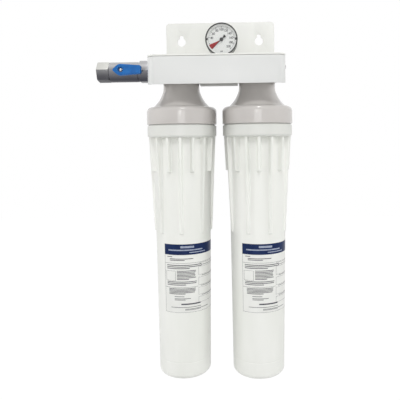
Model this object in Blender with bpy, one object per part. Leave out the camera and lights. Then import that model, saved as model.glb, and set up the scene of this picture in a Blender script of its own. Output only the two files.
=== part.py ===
# Twin quick-change water filter for an ice machine: a wall bracket with two
# filter heads, an inlet ball valve, a pressure gauge and two hanging cartridges.
# Metres, +Z up. The wall is the plane Y = 0 and the filter stands out towards -Y.
# The origin lies on the wall, midway between the two keyholes.

import bmesh
import bpy
import math
from mathutils import Matrix

# Fits shared by all pieces
clearance = 0.0003
overrun = 0.002
weld_distance = 0.000002

# Overall layout
cartridge_spacing = 0.127
axis_reach = 0.068
shelf_drop = 0.0437

# Wall bracket, bent from sheet
sheet = 0.0025
plate_reach = 0.0342
plate_rise = 0.034
plate_corner = 0.0065
bend_radius = 0.0055
keyhole_spacing = 0.140
keyhole_radius = 0.0074
keyhole_slot_width = 0.007
keyhole_slot_rise = 0.012
ear_height = 0.038
ear_front_gap = 0.0015
ear_back_reach = 0.044
ear_corner = 0.006
ear_hole_radius = 0.0150
ear_lift = 0.002

# Front cover, a band of thinner sheet round the heads. Its reaches count from the
# cartridges' axes, and it stands out more on the inlet side.
cover_sheet = 0.0015
cover_left_reach = 0.0480
cover_right_reach = 0.0433
cover_front_reach = 0.062
cover_height = 0.043
cover_corner = 0.015
cover_bow = 0.0015
cover_gap = 0.0008
cover_wall_gap = 0.003
cover_hole_radius = 0.0135
cover_slope_start = 0.006
cover_slope_rise = 0.0165
bow_shares = (-0.6, -0.2, 0.2, 0.6)

# Screws
screw_head_radius = 0.0039
screw_head_height = 0.0020
screw_crown_share = 0.75
screw_shank_radius = 0.0020
cover_screw_length = 0.0075
head_screw_length = 0.0110
cover_screw_pitch = 0.064

# Filter head
housing_height = 0.0365
housing_radius = 0.0315
flange_radius = 0.0345
flange_height = 0.006
flange_slope = 0.003
boss_radius = 0.0130
boss_reach = 0.0355
port_drop = 0.0155
port_radius = 0.0095
port_depth = 0.0155
inlet_passage_radius = 0.0028
outlet_passage_radius = 0.0035
outlet_passage_rise = 0.0085
head_screw_circle = 0.027
lower_bore_radius = 0.0140
lower_bore_depth = 0.0153
upper_bore_radius = 0.0085
upper_bore_depth = 0.0097

# Quarter-turn bayonet between head and cartridge
bayonet_radius = 0.0275
bayonet_depth = 0.0085
bayonet_lead = 0.003
ramp_start_rise = 0.0014
ramp_inset = 0.0006
lug_thickness = 0.0032
lug_reach = 0.0032
lug_half_angle = math.radians(18)
slot_half_angle = math.radians(23)
stop_gap_angle = math.radians(2)
quarter_turn = math.radians(90)

# Cartridge: bell cap
bell_radius = 0.05875
bell_neck_radius = 0.0300
bell_step_radius = 0.0472
bell_flare_height = 0.0389
bell_shoulder_radius = 0.0078
bell_skirt_height = 0.0214
bell_chamfer = 0.0010
bell_wall = 0.0042
flare_shares = ((0.0, 0.0), (0.08, 0.35), (0.26, 0.68), (0.49, 0.79), (1.0, 1.0))
bell_roof_share = 0.3
tube_radius = 0.0046
nose_bore_radius = 0.0080
seal_cord_radius = 0.0009

# Cartridge: sump
seam_gap = 0.0006
sump_length = 0.4213
collar_radius = 0.0580
collar_height = 0.0187
body_top_radius = 0.0480
body_label_radius = 0.0461
body_label_drop = 0.1746
body_foot_radius = 0.0437
foot_corner = 0.009
sump_wall = 0.0032
spigot_height = 0.0115
rib_count = 16
rib_top_reach = 0.0083
short_rib_length = 0.0576
short_rib_reach = 0.0063
long_rib_length = 0.1586
long_rib_reach = 0.0026
rib_tip_width = 0.0036
rib_root_width = 0.0062
left_rib_angle = math.radians(2.9)
right_rib_angle = math.radians(23.5)

# Cartridge: filter block inside the sump
block_radius = 0.036
block_bore_radius = 0.006
block_top_gap = 0.009
block_foot_gap = 0.030
cap_thickness = 0.0045
cap_overhang = 0.0015
cap_foot_radius = 0.010
tube_bore_radius = 0.0030

# Link between the heads, which also carries the gauge
link_depth = 0.026
link_height = 0.0395
link_foot_height = 0.0085
link_foot_proud = 0.0006
link_foot_gap = 0.0006
link_corner = 0.005
link_bore_radius = 0.0065
gauge_port_radius = 0.0066

# Inlet valve
ball_offset = 0.0479
barrel_radius = 0.01675
barrel_inlet_length = 0.0240
barrel_outlet_length = 0.0271
valve_hex_flats = 0.0344
end_cap_length = 0.0200
end_cap_radius = 0.0162
end_cap_chamfer = 0.0025
inlet_socket_radius = 0.0104
inlet_socket_depth = 0.014
flow_radius = 0.0075
cavity_radius = 0.0125
ball_radius = 0.0115
ball_bore_radius = 0.0070
seat_depth = 0.0047
nipple_socket_depth = 0.014
nipple_bore_radius = 0.0068
stem_radius = 0.0040
stem_boss_radius = 0.0085
stem_boss_reach = 0.0190
stem_tip_radius = 0.0030
stem_tip_length = 0.0040
packing_nut_flats = 0.0140
packing_nut_height = 0.0040
tang_thickness = 0.0034
tang_depth = 0.0031
tang_width_share = 0.9
seat_gap_share = 1.2

# Valve lever
lever_thickness = 0.0080
lever_point_reach = 0.0132
lever_long_reach = 0.0337
lever_half_width = 0.0098
lever_tail_half_width = 0.0083
lever_edge = 0.0010
lever_tail_corner = 0.0025
lever_neck_shares = (0.78, 0.36)
lever_cheek_shares = (0.30, 0.94)
lever_recess_radius = 0.0044
lever_recess_depth = 0.0032
lever_screw_head_radius = 0.0039
lever_screw_head_height = 0.0022
lever_screw_radius = 0.0015
lever_screw_length = 0.0050

# Outlet bushing, flush with the cover
bushing_flange_radius = 0.0125
bushing_socket_radius = 0.0084
bushing_socket_depth = 0.012
bushing_bore_radius = 0.0060
bushing_proud = 0.0005

# Pressure gauge
gauge_offset = 0.0053
gauge_drop = 0.013
gauge_radius = 0.0266
gauge_back_depth = 0.010
gauge_front_depth = 0.0205
gauge_wall = 0.0010
gauge_lip_radius = 0.0243
gauge_lip_depth = 0.0019
gauge_edge = 0.0022
gauge_rim_edge = 0.0006
gauge_stem_radius = 0.0063
gauge_stem_length = 0.0120
gauge_hex_flats = 0.0127
gauge_neck_radius = 0.0050
gauge_neck_rise = 0.0080
neck_hole_share = 0.8
lens_thickness = 0.0014
dial_thickness = 0.0010
dial_depth = 0.0062
arbor_radius = 0.0012
movement_width = 0.022
movement_height = 0.028
movement_depth = 0.0155
pointer_thickness = 0.0008
pointer_gap = 0.0012
pointer_length = 0.0190
pointer_half_width = 0.0008
pointer_tail_length = 0.0085
pointer_tail_half_width = 0.0026
pointer_waist_share = 0.45
pointer_hub_radius = 0.0030
pointer_zero_angle = math.radians(225)

# Numbers of facets
shell_steps = 24
housing_steps = 24
medium_steps = 16
small_steps = 12
tiny_steps = 6
corner_steps = 4
foot_steps = 3
ramp_steps = 8
seal_steps = 5
lever_corner_steps = 3

# Levels and places that follow from the sizes
half_spacing = cartridge_spacing / 2
plate_half = half_spacing + plate_reach
cover_reach = {-1: half_spacing + cover_left_reach, 1: half_spacing + cover_right_reach}
cover_depth = axis_reach + cover_front_reach
ball_reach = cover_reach[-1] + ball_offset
shelf_top = -shelf_drop
shelf_bottom = shelf_top - sheet
cover_top = shelf_bottom - cover_gap
cover_bottom = cover_top - cover_height
head_top = shelf_bottom - clearance
head_bottom = head_top - housing_height
port_level = head_top - port_drop
bayonet_top = head_bottom + bayonet_depth
lower_bore_top = bayonet_top + lower_bore_depth
upper_bore_top = lower_bore_top + upper_bore_depth
boss_end = half_spacing + boss_reach
ear_front = cover_depth - cover_bow - cover_corner - ear_front_gap
ear_back = axis_reach - ear_back_reach
bell_top = head_bottom - 2 * clearance
bell_step = bell_top - bell_flare_height
bell_skirt_top = bell_step - bell_shoulder_radius - clearance
bell_bottom = bell_skirt_top - bell_skirt_height
sump_top = bell_bottom - seam_gap
sump_bottom = sump_top - sump_length
collar_bottom = sump_top - collar_height
spigot_radius = bell_radius - bell_wall - clearance
spigot_top = sump_top + spigot_height

# Directions in which a shape drawn along Z is laid
upright = (0.0, 0.0, 0.0)
along_x = (0.0, math.pi / 2, 0.0)
towards_front = (math.pi / 2, 0.0, 0.0)

materials = {
    "white_powder_coat": ((0.80, 0.81, 0.79), 0.40, 0.0),
    "white_cover_paint": ((0.78, 0.79, 0.79), 0.38, 0.0),
    "white_plastic": ((0.80, 0.81, 0.78), 0.42, 0.0),
    "warm_grey_plastic": ((0.62, 0.59, 0.57), 0.22, 0.0),
    "head_plastic": ((0.70, 0.70, 0.68), 0.45, 0.0),
    "carbon_black": ((0.03, 0.03, 0.03), 0.85, 0.0),
    "cap_plastic": ((0.72, 0.72, 0.70), 0.50, 0.0),
    "seal_rubber": ((0.03, 0.03, 0.03), 0.70, 0.0),
    "valve_nickel": ((0.62, 0.62, 0.64), 0.18, 1.0),
    "brass": ((0.72, 0.55, 0.28), 0.28, 1.0),
    "steel": ((0.60, 0.60, 0.60), 0.30, 1.0),
    "seat_white": ((0.85, 0.85, 0.83), 0.40, 0.0),
    "lever_blue": ((0.03, 0.17, 0.55), 0.35, 0.0),
    "gauge_black": ((0.05, 0.05, 0.05), 0.40, 0.0),
    "dial_white": ((0.85, 0.85, 0.83), 0.60, 0.0),
    "lens_clear": ((0.90, 0.92, 0.92), 0.05, 0.0),
}


def clear_scene():
    for item in list(bpy.data.objects):
        bpy.data.objects.remove(item, do_unlink=True)


def material_named(name):
    found = bpy.data.materials.get(name)
    if found:
        return found
    colour, roughness, metallic = materials[name]
    made = bpy.data.materials.new(name)
    made.use_nodes = True
    shader = made.node_tree.nodes["Principled BSDF"]
    shader.inputs["Base Color"].default_value = (*colour, 1.0)
    shader.inputs["Roughness"].default_value = roughness
    shader.inputs["Metallic"].default_value = metallic
    return made


# Shapes

def arc(centre, radius, start, end, steps):
    points = []
    for index in range(steps + 1):
        angle = start + (end - start) * index / steps
        x = centre[0] + radius * math.cos(angle)
        y = centre[1] + radius * math.sin(angle)
        points.append((x, y))
    return points


def circle(radius, steps, centre=(0.0, 0.0)):
    # Turned by half a facet, so that its flats face along the axes.
    start = math.pi / steps
    return arc(centre, radius, start, start + 2 * math.pi, steps)[:-1]


def hexagon(flats, turn=0.0):
    corner_radius = flats / math.sqrt(3)
    return arc((0.0, 0.0), corner_radius, turn, turn + 2 * math.pi, 6)[:-1]


def rounded_rectangle(width, height, corner, steps):
    x = width / 2 - corner
    y = height / 2 - corner
    points = []
    for turn, (side, level) in enumerate(((x, y), (-x, y), (-x, -y), (x, -y))):
        start = turn * math.pi / 2
        points.extend(arc((side, level), corner, start, start + math.pi / 2, steps))
    return points


def lofted(rings):
    # A closed body through rings that have the same number of points.
    shape = bmesh.new()
    rows = [[shape.verts.new(point) for point in ring] for ring in rings]
    count = len(rows[0])
    for lower, upper in zip(rows, rows[1:]):
        for index in range(count):
            follower = (index + 1) % count
            shape.faces.new((lower[index], lower[follower], upper[follower], upper[index]))
    shape.faces.new(rows[0])
    shape.faces.new(rows[-1])
    # Its sides are twisted, so they are split into flat triangles.
    bmesh.ops.triangulate(shape, faces=shape.faces[:])
    bmesh.ops.recalc_face_normals(shape, faces=shape.faces[:])
    return shape


def extruded(outline, low, high):
    shape = bmesh.new()
    face = shape.faces.new([shape.verts.new((x, y, low)) for x, y in outline])
    lifted = bmesh.ops.extrude_face_region(shape, geom=[face])
    for item in lifted["geom"]:
        if isinstance(item, bmesh.types.BMVert):
            item.co.z = high
    bmesh.ops.recalc_face_normals(shape, faces=shape.faces[:])
    return shape


def turned(outline, steps):
    # The closed outline of (radius, height) points goes once round Z.
    shape = bmesh.new()
    points = [shape.verts.new((radius, 0.0, height)) for radius, height in outline]
    edges = []
    for first, second in zip(points, points[1:] + points[:1]):
        if first.co.x > 0.0 or second.co.x > 0.0:
            edges.append(shape.edges.new((first, second)))
    bmesh.ops.spin(shape, geom=points + edges, cent=(0.0, 0.0, 0.0), axis=(0.0, 0.0, 1.0),
                   angle=2 * math.pi, steps=steps)
    bmesh.ops.remove_doubles(shape, verts=shape.verts[:], dist=weld_distance)
    bmesh.ops.recalc_face_normals(shape, faces=shape.faces[:])
    return placed(shape, turn=(0.0, 0.0, math.pi / steps))


def cylinder(radius, low, high, steps):
    return extruded(circle(radius, steps), low, high)


def block(width, depth, low, high):
    x = width / 2
    y = depth / 2
    return extruded(((-x, -y), (x, -y), (x, y), (-x, y)), low, high)


def placed(shape, place=(0.0, 0.0, 0.0), turn=upright):
    rotation = Matrix.Rotation(turn[2], 4, "Z") @ Matrix.Rotation(turn[1], 4, "Y")
    rotation = rotation @ Matrix.Rotation(turn[0], 4, "X")
    bmesh.ops.transform(shape, matrix=Matrix.Translation(place) @ rotation, verts=shape.verts[:])
    return shape


def gathered(shapes):
    # Shapes that lie apart, put into one mesh so that one Boolean takes them all.
    whole = bmesh.new()
    for shape in shapes:
        mesh = bpy.data.meshes.new("gathered")
        shape.to_mesh(mesh)
        shape.free()
        whole.from_mesh(mesh)
        bpy.data.meshes.remove(mesh)
    return whole


# Objects

def add_empty(name, place, parent=None):
    empty = bpy.data.objects.new(name, None)
    empty.location = place
    empty.parent = parent
    bpy.context.scene.collection.objects.link(empty)
    return empty


def add_object(name, shape, place, turn, parent):
    mesh = bpy.data.meshes.new(name)
    shape.to_mesh(mesh)
    shape.free()
    item = bpy.data.objects.new(name, mesh)
    item.location = place
    item.rotation_euler = turn
    item.parent = parent
    bpy.context.scene.collection.objects.link(item)
    return item


def add_part(name, shape, material, place=(0.0, 0.0, 0.0), turn=upright, parent=None, smooth=True):
    part = add_object(name, shape, place, turn, parent)
    part.data.materials.append(material_named(material))
    if smooth:
        part.data.shade_smooth()
        part.data.set_sharp_from_angle(angle=math.radians(35))
    return part


def combine(part, shape, operation):
    # The second shape shares the part's own origin, direction and parent.
    label = part.name + "_" + operation.lower() + str(len(part.modifiers))
    helper = add_object(label, shape, part.location, part.rotation_euler, part.parent)
    helper.hide_render = True
    helper.display_type = "WIRE"
    modifier = part.modifiers.new(label, "BOOLEAN")
    modifier.operation = operation
    modifier.solver = "EXACT"
    modifier.object = helper


def cut(part, shape):
    combine(part, shape, "DIFFERENCE")


def join(part, shape):
    combine(part, shape, "UNION")


# Wall bracket and cover

def front_line(inset):
    # From the left rear corner round the bowed front to the right rear corner.
    corner = cover_corner - inset
    flank = cover_depth - cover_bow - inset
    start = -cover_reach[-1] + inset + corner
    end = cover_reach[1] - inset - corner
    left = arc((start, -flank + corner), corner, math.pi, 1.5 * math.pi, corner_steps)
    right = arc((end, -flank + corner), corner, 1.5 * math.pi, 2 * math.pi, corner_steps)
    middle = []
    for share in bow_shares:
        x = (start + end) / 2 + share * (end - start) / 2
        middle.append((x, -flank - cover_bow * (1 - share * share)))
    return left + middle + right


def keyhole_outline():
    half_slot = keyhole_slot_width / 2
    opening = math.acos(half_slot / keyhole_radius)
    lower = arc((0.0, 0.0), keyhole_radius, math.pi - opening, 2 * math.pi + opening, small_steps)
    upper = arc((0.0, keyhole_slot_rise), half_slot, 0.0, math.pi, corner_steps)
    return lower + upper


def corner_waste():
    # What is cut off an upper corner of the plate.
    centre = (plate_half - plate_corner, plate_rise - plate_corner)
    rounding = arc(centre, plate_corner, 0.0, math.pi / 2, corner_steps)
    outside = [(centre[0], plate_rise + overrun), (plate_half + overrun, plate_rise + overrun),
               (plate_half + overrun, centre[1])]
    return rounding + outside


def slope_waste(lift):
    # Cut from the cover's sides and from the ears: what lies below a line that climbs
    # towards the wall.
    front = -cover_depth + cover_bow + cover_slope_start
    climb = cover_slope_rise / (-cover_wall_gap - front)
    low = cover_bottom - overrun
    high = cover_bottom + lift + climb * (overrun - front)
    outline = [(front, low), (overrun, low), (overrun, high), (front, cover_bottom + lift)]
    sideways = [(-level, depth) for depth, level in outline]
    left = -cover_reach[-1] - overrun
    return placed(extruded(sideways, left, cover_reach[1] + overrun), turn=along_x)


def side_screw_places():
    return [(-axis_reach + side * cover_screw_pitch / 2, port_level) for side in (-1, 1)]


def head_screw_places():
    reach = head_screw_circle * math.sqrt(0.5)
    return [(reach * side, reach * depth) for side in (-1, 1) for depth in (-1, 1)]


def make_bracket():
    # The upright plate, the bend and the start of the shelf are one bent profile.
    inner_bend = bend_radius - sheet
    centre = (-bend_radius, shelf_bottom + bend_radius)
    outer = arc(centre, bend_radius, -math.pi / 2, 0.0, corner_steps)
    inner = arc(centre, inner_bend, 0.0, -math.pi / 2, corner_steps)
    profile = outer + [(0.0, plate_rise), (-sheet, plate_rise)] + inner
    sideways = [(-level, depth) for depth, level in profile]
    shape = placed(extruded(sideways, -plate_half, plate_half), turn=along_x)
    bracket = add_part("mounting_bracket", shape, "white_powder_coat")
    shelf = [(-cover_reach[-1], -bend_radius)] + front_line(0.0)
    shelf += [(cover_reach[1], -bend_radius)]
    join(bracket, extruded(shelf, shelf_bottom, shelf_top))

    ears = []
    ear_sides = {}
    ear_top = shelf_bottom + sheet / 2
    low = shelf_bottom - ear_height
    half = (ear_front - ear_back) / 2
    for side in (-1, 1):
        outside = cover_reach[side] - cover_sheet - clearance
        near, far = sorted((side * (outside - sheet), side * outside))
        ear_sides[side] = (near - overrun, far + overrun)
        outline = [(-ear_top, half), (-ear_top, -half)]
        outline += arc((-low - ear_corner, -half + ear_corner), ear_corner,
                       -math.pi / 2, 0.0, corner_steps)
        outline += arc((-low - ear_corner, half - ear_corner), ear_corner,
                       0.0, math.pi / 2, corner_steps)
        ears.append(placed(extruded(outline, near, far), (0.0, -ear_back - half, 0.0), along_x))
    join(bracket, gathered(ears))

    holes = [slope_waste(ear_lift)]
    for side in (-1, 1):
        corner = extruded(corner_waste(), -overrun, sheet + overrun)
        turn = (math.pi / 2, 0.0, 0.0) if side > 0 else (math.pi / 2, 0.0, math.pi)
        depth = 0.0 if side > 0 else -sheet
        holes.append(placed(corner, (0.0, depth, 0.0), turn))
        keyhole = extruded(keyhole_outline(), -overrun, sheet + overrun)
        holes.append(placed(keyhole, (side * keyhole_spacing / 2, 0.0, 0.0), towards_front))
        low, high = ear_sides[side]
        port = cylinder(ear_hole_radius, low, high, medium_steps)
        holes.append(placed(port, (0.0, -axis_reach, port_level), along_x))
        for depth, level in side_screw_places():
            hole = cylinder(screw_shank_radius + clearance, low, high, tiny_steps)
            holes.append(placed(hole, (0.0, depth, level), along_x))
        for x, y in head_screw_places():
            hole = cylinder(screw_shank_radius + clearance, shelf_bottom - overrun,
                            shelf_top + overrun, tiny_steps)
            holes.append(placed(hole, (side * half_spacing + x, y - axis_reach, 0.0)))
    stem_hole_radius = gauge_hex_flats / math.sqrt(3) + overrun
    stem_hole = cylinder(stem_hole_radius, shelf_bottom - overrun, shelf_top + overrun,
                         medium_steps)
    holes.append(placed(stem_hole, (gauge_offset, -axis_reach, 0.0)))
    cut(bracket, gathered(holes))


def make_cover():
    outer = front_line(0.0)
    inner = front_line(cover_sheet)
    left = -cover_reach[-1]
    right = cover_reach[1]
    outline = [(left, -cover_wall_gap)] + outer + [(right, -cover_wall_gap)]
    outline += [(right - cover_sheet, -cover_wall_gap)] + inner[::-1]
    outline += [(left + cover_sheet, -cover_wall_gap)]
    cover = add_part("front_cover", extruded(outline, cover_bottom, cover_top),
                     "white_cover_paint")
    holes = [slope_waste(0.0)]
    for side in (-1, 1):
        outside = cover_reach[side] + overrun
        low, high = sorted((side * (outside - cover_sheet - 2 * overrun), side * outside))
        port = cylinder(cover_hole_radius, low, high, medium_steps)
        holes.append(placed(port, (0.0, -axis_reach, port_level), along_x))
        for depth, level in side_screw_places():
            hole = cylinder(screw_shank_radius + clearance, low, high, tiny_steps)
            holes.append(placed(hole, (0.0, depth, level), along_x))
    cut(cover, gathered(holes))


def screw_shape(head_radius, head_height, shank_radius, shank_length, steps):
    # The head stands on z = 0 and the shank goes down from it.
    crown = head_radius * screw_crown_share
    outline = [(0.0, head_height), (crown, head_height), (head_radius, 0.0),
               (shank_radius, 0.0), (shank_radius, -shank_length), (0.0, -shank_length)]
    return turned(outline, steps)


def make_screws():
    number = 0
    for side in (-1, 1):
        direction = along_x if side > 0 else (0.0, -math.pi / 2, 0.0)
        for depth, level in side_screw_places():
            number += 1
            shape = screw_shape(screw_head_radius, screw_head_height, screw_shank_radius,
                                cover_screw_length, tiny_steps)
            place = (side * (cover_reach[side] + clearance), depth, level)
            add_part("cover_screw_" + str(number), shape, "steel", place, direction)
    for name, side in (("left", -1), ("right", 1)):
        for number, (x, y) in enumerate(head_screw_places(), 1):
            shape = screw_shape(screw_head_radius, screw_head_height, screw_shank_radius,
                                head_screw_length, tiny_steps)
            place = (side * half_spacing + x, y - axis_reach, shelf_top + clearance)
            add_part(name + "_head_screw_" + str(number), shape, "steel", place)


# Filter heads

def sector(inner, outer, stations):
    # A curved bar: each station is (angle, lower level, upper level).
    rings = []
    for angle, low, high in stations:
        x = math.cos(angle)
        y = math.sin(angle)
        rings.append([(inner * x, inner * y, low), (outer * x, outer * y, low),
                      (outer * x, outer * y, high), (inner * x, inner * y, high)])
    return lofted(rings)


def lug_floor(angle):
    # Height of the underside of a lug at an angle counted from its slot.
    return head_bottom + ramp_start_rise + bayonet_lead * angle / quarter_turn


def ramp_shape(start):
    stations = []
    floor = head_bottom + ramp_inset
    first = slot_half_angle
    last = quarter_turn + lug_half_angle + stop_gap_angle
    for index in range(ramp_steps + 1):
        angle = first + (last - first) * index / ramp_steps
        stations.append((start + angle, floor, lug_floor(angle) - clearance))
    stop_end = math.pi - slot_half_angle
    stop_top = bayonet_top + clearance
    for index in range(corner_steps + 1):
        angle = last + (stop_end - last) * index / corner_steps
        lean = stop_gap_angle / 4 if index == 0 else 0.0
        stations.append((start + angle + lean, floor, stop_top))
    inner = bayonet_radius - lug_reach + clearance / 2
    return sector(inner, bayonet_radius + overrun / 2, stations)


def make_head(name, side):
    axis = add_empty(name + "_axis", (side * half_spacing, -axis_reach, 0.0))
    flange_bottom = head_top - flange_height
    outline = [(0.0, head_top), (flange_radius, head_top), (flange_radius, flange_bottom),
               (housing_radius, flange_bottom - flange_slope), (housing_radius, head_bottom),
               (0.0, head_bottom)]
    head = add_part(name, turned(outline, housing_steps), "head_plastic", parent=axis)
    boss = cylinder(boss_radius, -boss_reach, boss_reach, medium_steps)
    join(head, placed(boss, (0.0, 0.0, port_level), along_x))
    bores = [(0.0, upper_bore_top), (upper_bore_radius, upper_bore_top),
             (upper_bore_radius, lower_bore_top), (lower_bore_radius, lower_bore_top),
             (lower_bore_radius, bayonet_top), (bayonet_radius, bayonet_top),
             (bayonet_radius, head_bottom - overrun), (0.0, head_bottom - overrun)]
    cut(head, turned(bores, housing_steps))

    pocket_end = boss_reach - port_depth
    inlet = [(0.0, -boss_reach - overrun), (port_radius, -boss_reach - overrun),
             (port_radius, -pocket_end), (inlet_passage_radius, -pocket_end),
             (inlet_passage_radius, -upper_bore_radius), (0.0, -upper_bore_radius)]
    shapes = [placed(turned(inlet, medium_steps), (0.0, 0.0, port_level), along_x)]
    outlet = cylinder(port_radius, pocket_end, boss_reach + overrun, medium_steps)
    shapes.append(placed(outlet, (0.0, 0.0, port_level), along_x))
    hole_bottom = shelf_top - head_screw_length - clearance
    for x, y in head_screw_places():
        hole = cylinder(screw_shank_radius + clearance, hole_bottom, head_top + overrun,
                        tiny_steps)
        shapes.append(placed(hole, (x, y, 0.0)))
    cut(head, gathered(shapes))
    passage = cylinder(outlet_passage_radius, 0.0, pocket_end + overrun, small_steps)
    cut(head, placed(passage, (0.0, 0.0, port_level + outlet_passage_rise), along_x))
    join(head, gathered([ramp_shape(0.0), ramp_shape(math.pi)]))


def make_link():
    half_length = half_spacing - boss_reach - clearance
    centre = head_top - link_height / 2
    outline = rounded_rectangle(link_height, link_depth, link_corner, corner_steps)
    link = add_part("manifold_link", extruded(outline, -half_length, half_length),
                    "head_plastic", (0.0, -axis_reach, centre), along_x)
    lift = centre - port_level
    spigot_end = half_length + port_depth
    spigots = []
    for side in (-1, 1):
        low, high = sorted((side * (half_length - overrun), side * spigot_end))
        spigot = cylinder(port_radius - clearance, low, high, medium_steps)
        spigots.append(placed(spigot, (lift, 0.0, 0.0)))
    # The foot reaches under the bosses, almost to the heads.
    reach = half_spacing - housing_radius - link_foot_gap
    low = link_height / 2 - link_foot_height
    high = link_height / 2 + link_foot_proud
    side = link_depth / 2 - link_corner
    foot = [(low, -side), (high, -side), (high, side), (low, side)]
    join(link, gathered(spigots + [extruded(foot, -reach, reach)]))
    bore = cylinder(link_bore_radius, -spigot_end - overrun, spigot_end + overrun, medium_steps)
    cut(link, placed(bore, (lift, 0.0, 0.0)))
    port = cylinder(gauge_port_radius, -lift, link_height / 2 + overrun, medium_steps)
    cut(link, placed(port, (0.0, 0.0, gauge_offset), (0.0, -math.pi / 2, 0.0)))


# Cartridges

def seal_shape(radius, steps):
    outline = circle(seal_cord_radius, seal_steps, (radius, 0.0))
    return turned(outline, steps)


def groove(bore, level):
    # Bottom of a seal groove, between its two edges, from the top down.
    floor = bore - clearance - 2 * seal_cord_radius - clearance
    reach = seal_cord_radius + clearance
    edge = bore - clearance - clearance / 2
    return [(edge, level + reach), (floor, level + reach), (floor, level - reach),
            (edge, level - reach)]


def seal_levels():
    upper = lower_bore_top + 3 * seal_cord_radius
    lower = bayonet_top + 2 * seal_cord_radius
    return upper, lower


def nose_outline():
    # The stepped nose with two seal grooves, its root sunk into the neck.
    upper_edge = upper_bore_radius - clearance - clearance / 2
    lower_edge = lower_bore_radius - clearance - clearance / 2
    upper_seal, lower_seal = seal_levels()
    nose_top = lower_bore_top + 5 * seal_cord_radius
    shoulder = lower_bore_top - clearance
    root = bayonet_top - overrun
    points = [(tube_radius + clearance, nose_top), (upper_edge, nose_top)]
    points += groove(upper_bore_radius, upper_seal)
    points += [(upper_edge, shoulder), (lower_edge, shoulder)]
    points += groove(lower_bore_radius, lower_seal)
    points += [(lower_edge, root), (nose_bore_radius, root)]
    points.append((nose_bore_radius, shoulder - bell_wall / 2))
    points.append((tube_radius + clearance, shoulder - bell_wall / 2))
    return points


def bell_outline():
    neck = bayonet_radius - lug_reach - clearance
    neck_top = bayonet_top - 2 * clearance
    neck_bore = nose_bore_radius + 2 * clearance
    points = [(neck_bore, neck_top), (neck, neck_top), (neck, bell_top)]
    for widening, drop in flare_shares:
        radius = bell_neck_radius + (bell_step_radius - bell_neck_radius) * widening
        points.append((radius, bell_top - bell_flare_height * drop))
    centre = (bell_radius - bell_shoulder_radius, bell_step - clearance - bell_shoulder_radius)
    points += arc(centre, bell_shoulder_radius, math.pi / 2, 0.0, foot_steps)
    points.append((bell_radius, bell_bottom + bell_chamfer))
    points.append((bell_radius - bell_chamfer, bell_bottom))
    inside = bell_radius - bell_wall
    points += [(inside, bell_bottom), (inside, bell_skirt_top)]
    points.append((bell_step_radius - bell_wall, bell_step - bell_wall))
    points.append((bell_neck_radius - bell_wall, bell_step + bell_flare_height * bell_roof_share))
    points.append((bell_neck_radius - bell_wall, bell_top - bell_wall))
    points.append((neck_bore, bell_top - bell_wall))
    return points


def lug_shape(middle):
    stations = []
    for index in range(corner_steps + 1):
        angle = -lug_half_angle + 2 * lug_half_angle * index / corner_steps
        low = lug_floor(quarter_turn + angle)
        stations.append((middle + angle, low, low + lug_thickness))
    inner = bayonet_radius - lug_reach - overrun / 2
    return sector(inner, bayonet_radius - 2 * clearance, stations)


def rib_shape(angle, length, end_reach):
    # A rib narrows and sinks towards the body from the collar down.
    fall = (body_top_radius - body_label_radius) / body_label_drop
    rings = []
    top = collar_bottom + overrun
    for level, reach in ((top, rib_top_reach), (collar_bottom - length, end_reach)):
        body = body_top_radius - fall * (collar_bottom - level)
        inner = body - sump_wall / 2
        root = rib_root_width / 2
        tip = rib_tip_width / 2
        rings.append([(inner, -root, level), (body + reach, -tip, level),
                      (body + reach, tip, level), (inner, root, level)])
    return placed(lofted(rings), turn=(0.0, 0.0, angle))


def sump_outline():
    inner_spigot = spigot_radius - sump_wall
    label_level = collar_bottom - body_label_drop
    floor = sump_bottom + sump_wall
    corner = (body_foot_radius - foot_corner, sump_bottom + foot_corner)
    points = [(inner_spigot, spigot_top), (spigot_radius, spigot_top),
              (spigot_radius, sump_top), (collar_radius, sump_top),
              (collar_radius, collar_bottom), (body_top_radius, collar_bottom),
              (body_label_radius, label_level)]
    points += arc(corner, foot_corner, 0.0, -math.pi / 2, foot_steps)
    points += [(0.0, sump_bottom), (0.0, floor)]
    points += [(body_foot_radius - foot_corner, floor)]
    points += [(body_foot_radius - sump_wall, sump_bottom + foot_corner)]
    points += [(body_label_radius - sump_wall, label_level)]
    points += [(body_top_radius - sump_wall, collar_bottom), (inner_spigot, sump_top)]
    return points


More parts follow.
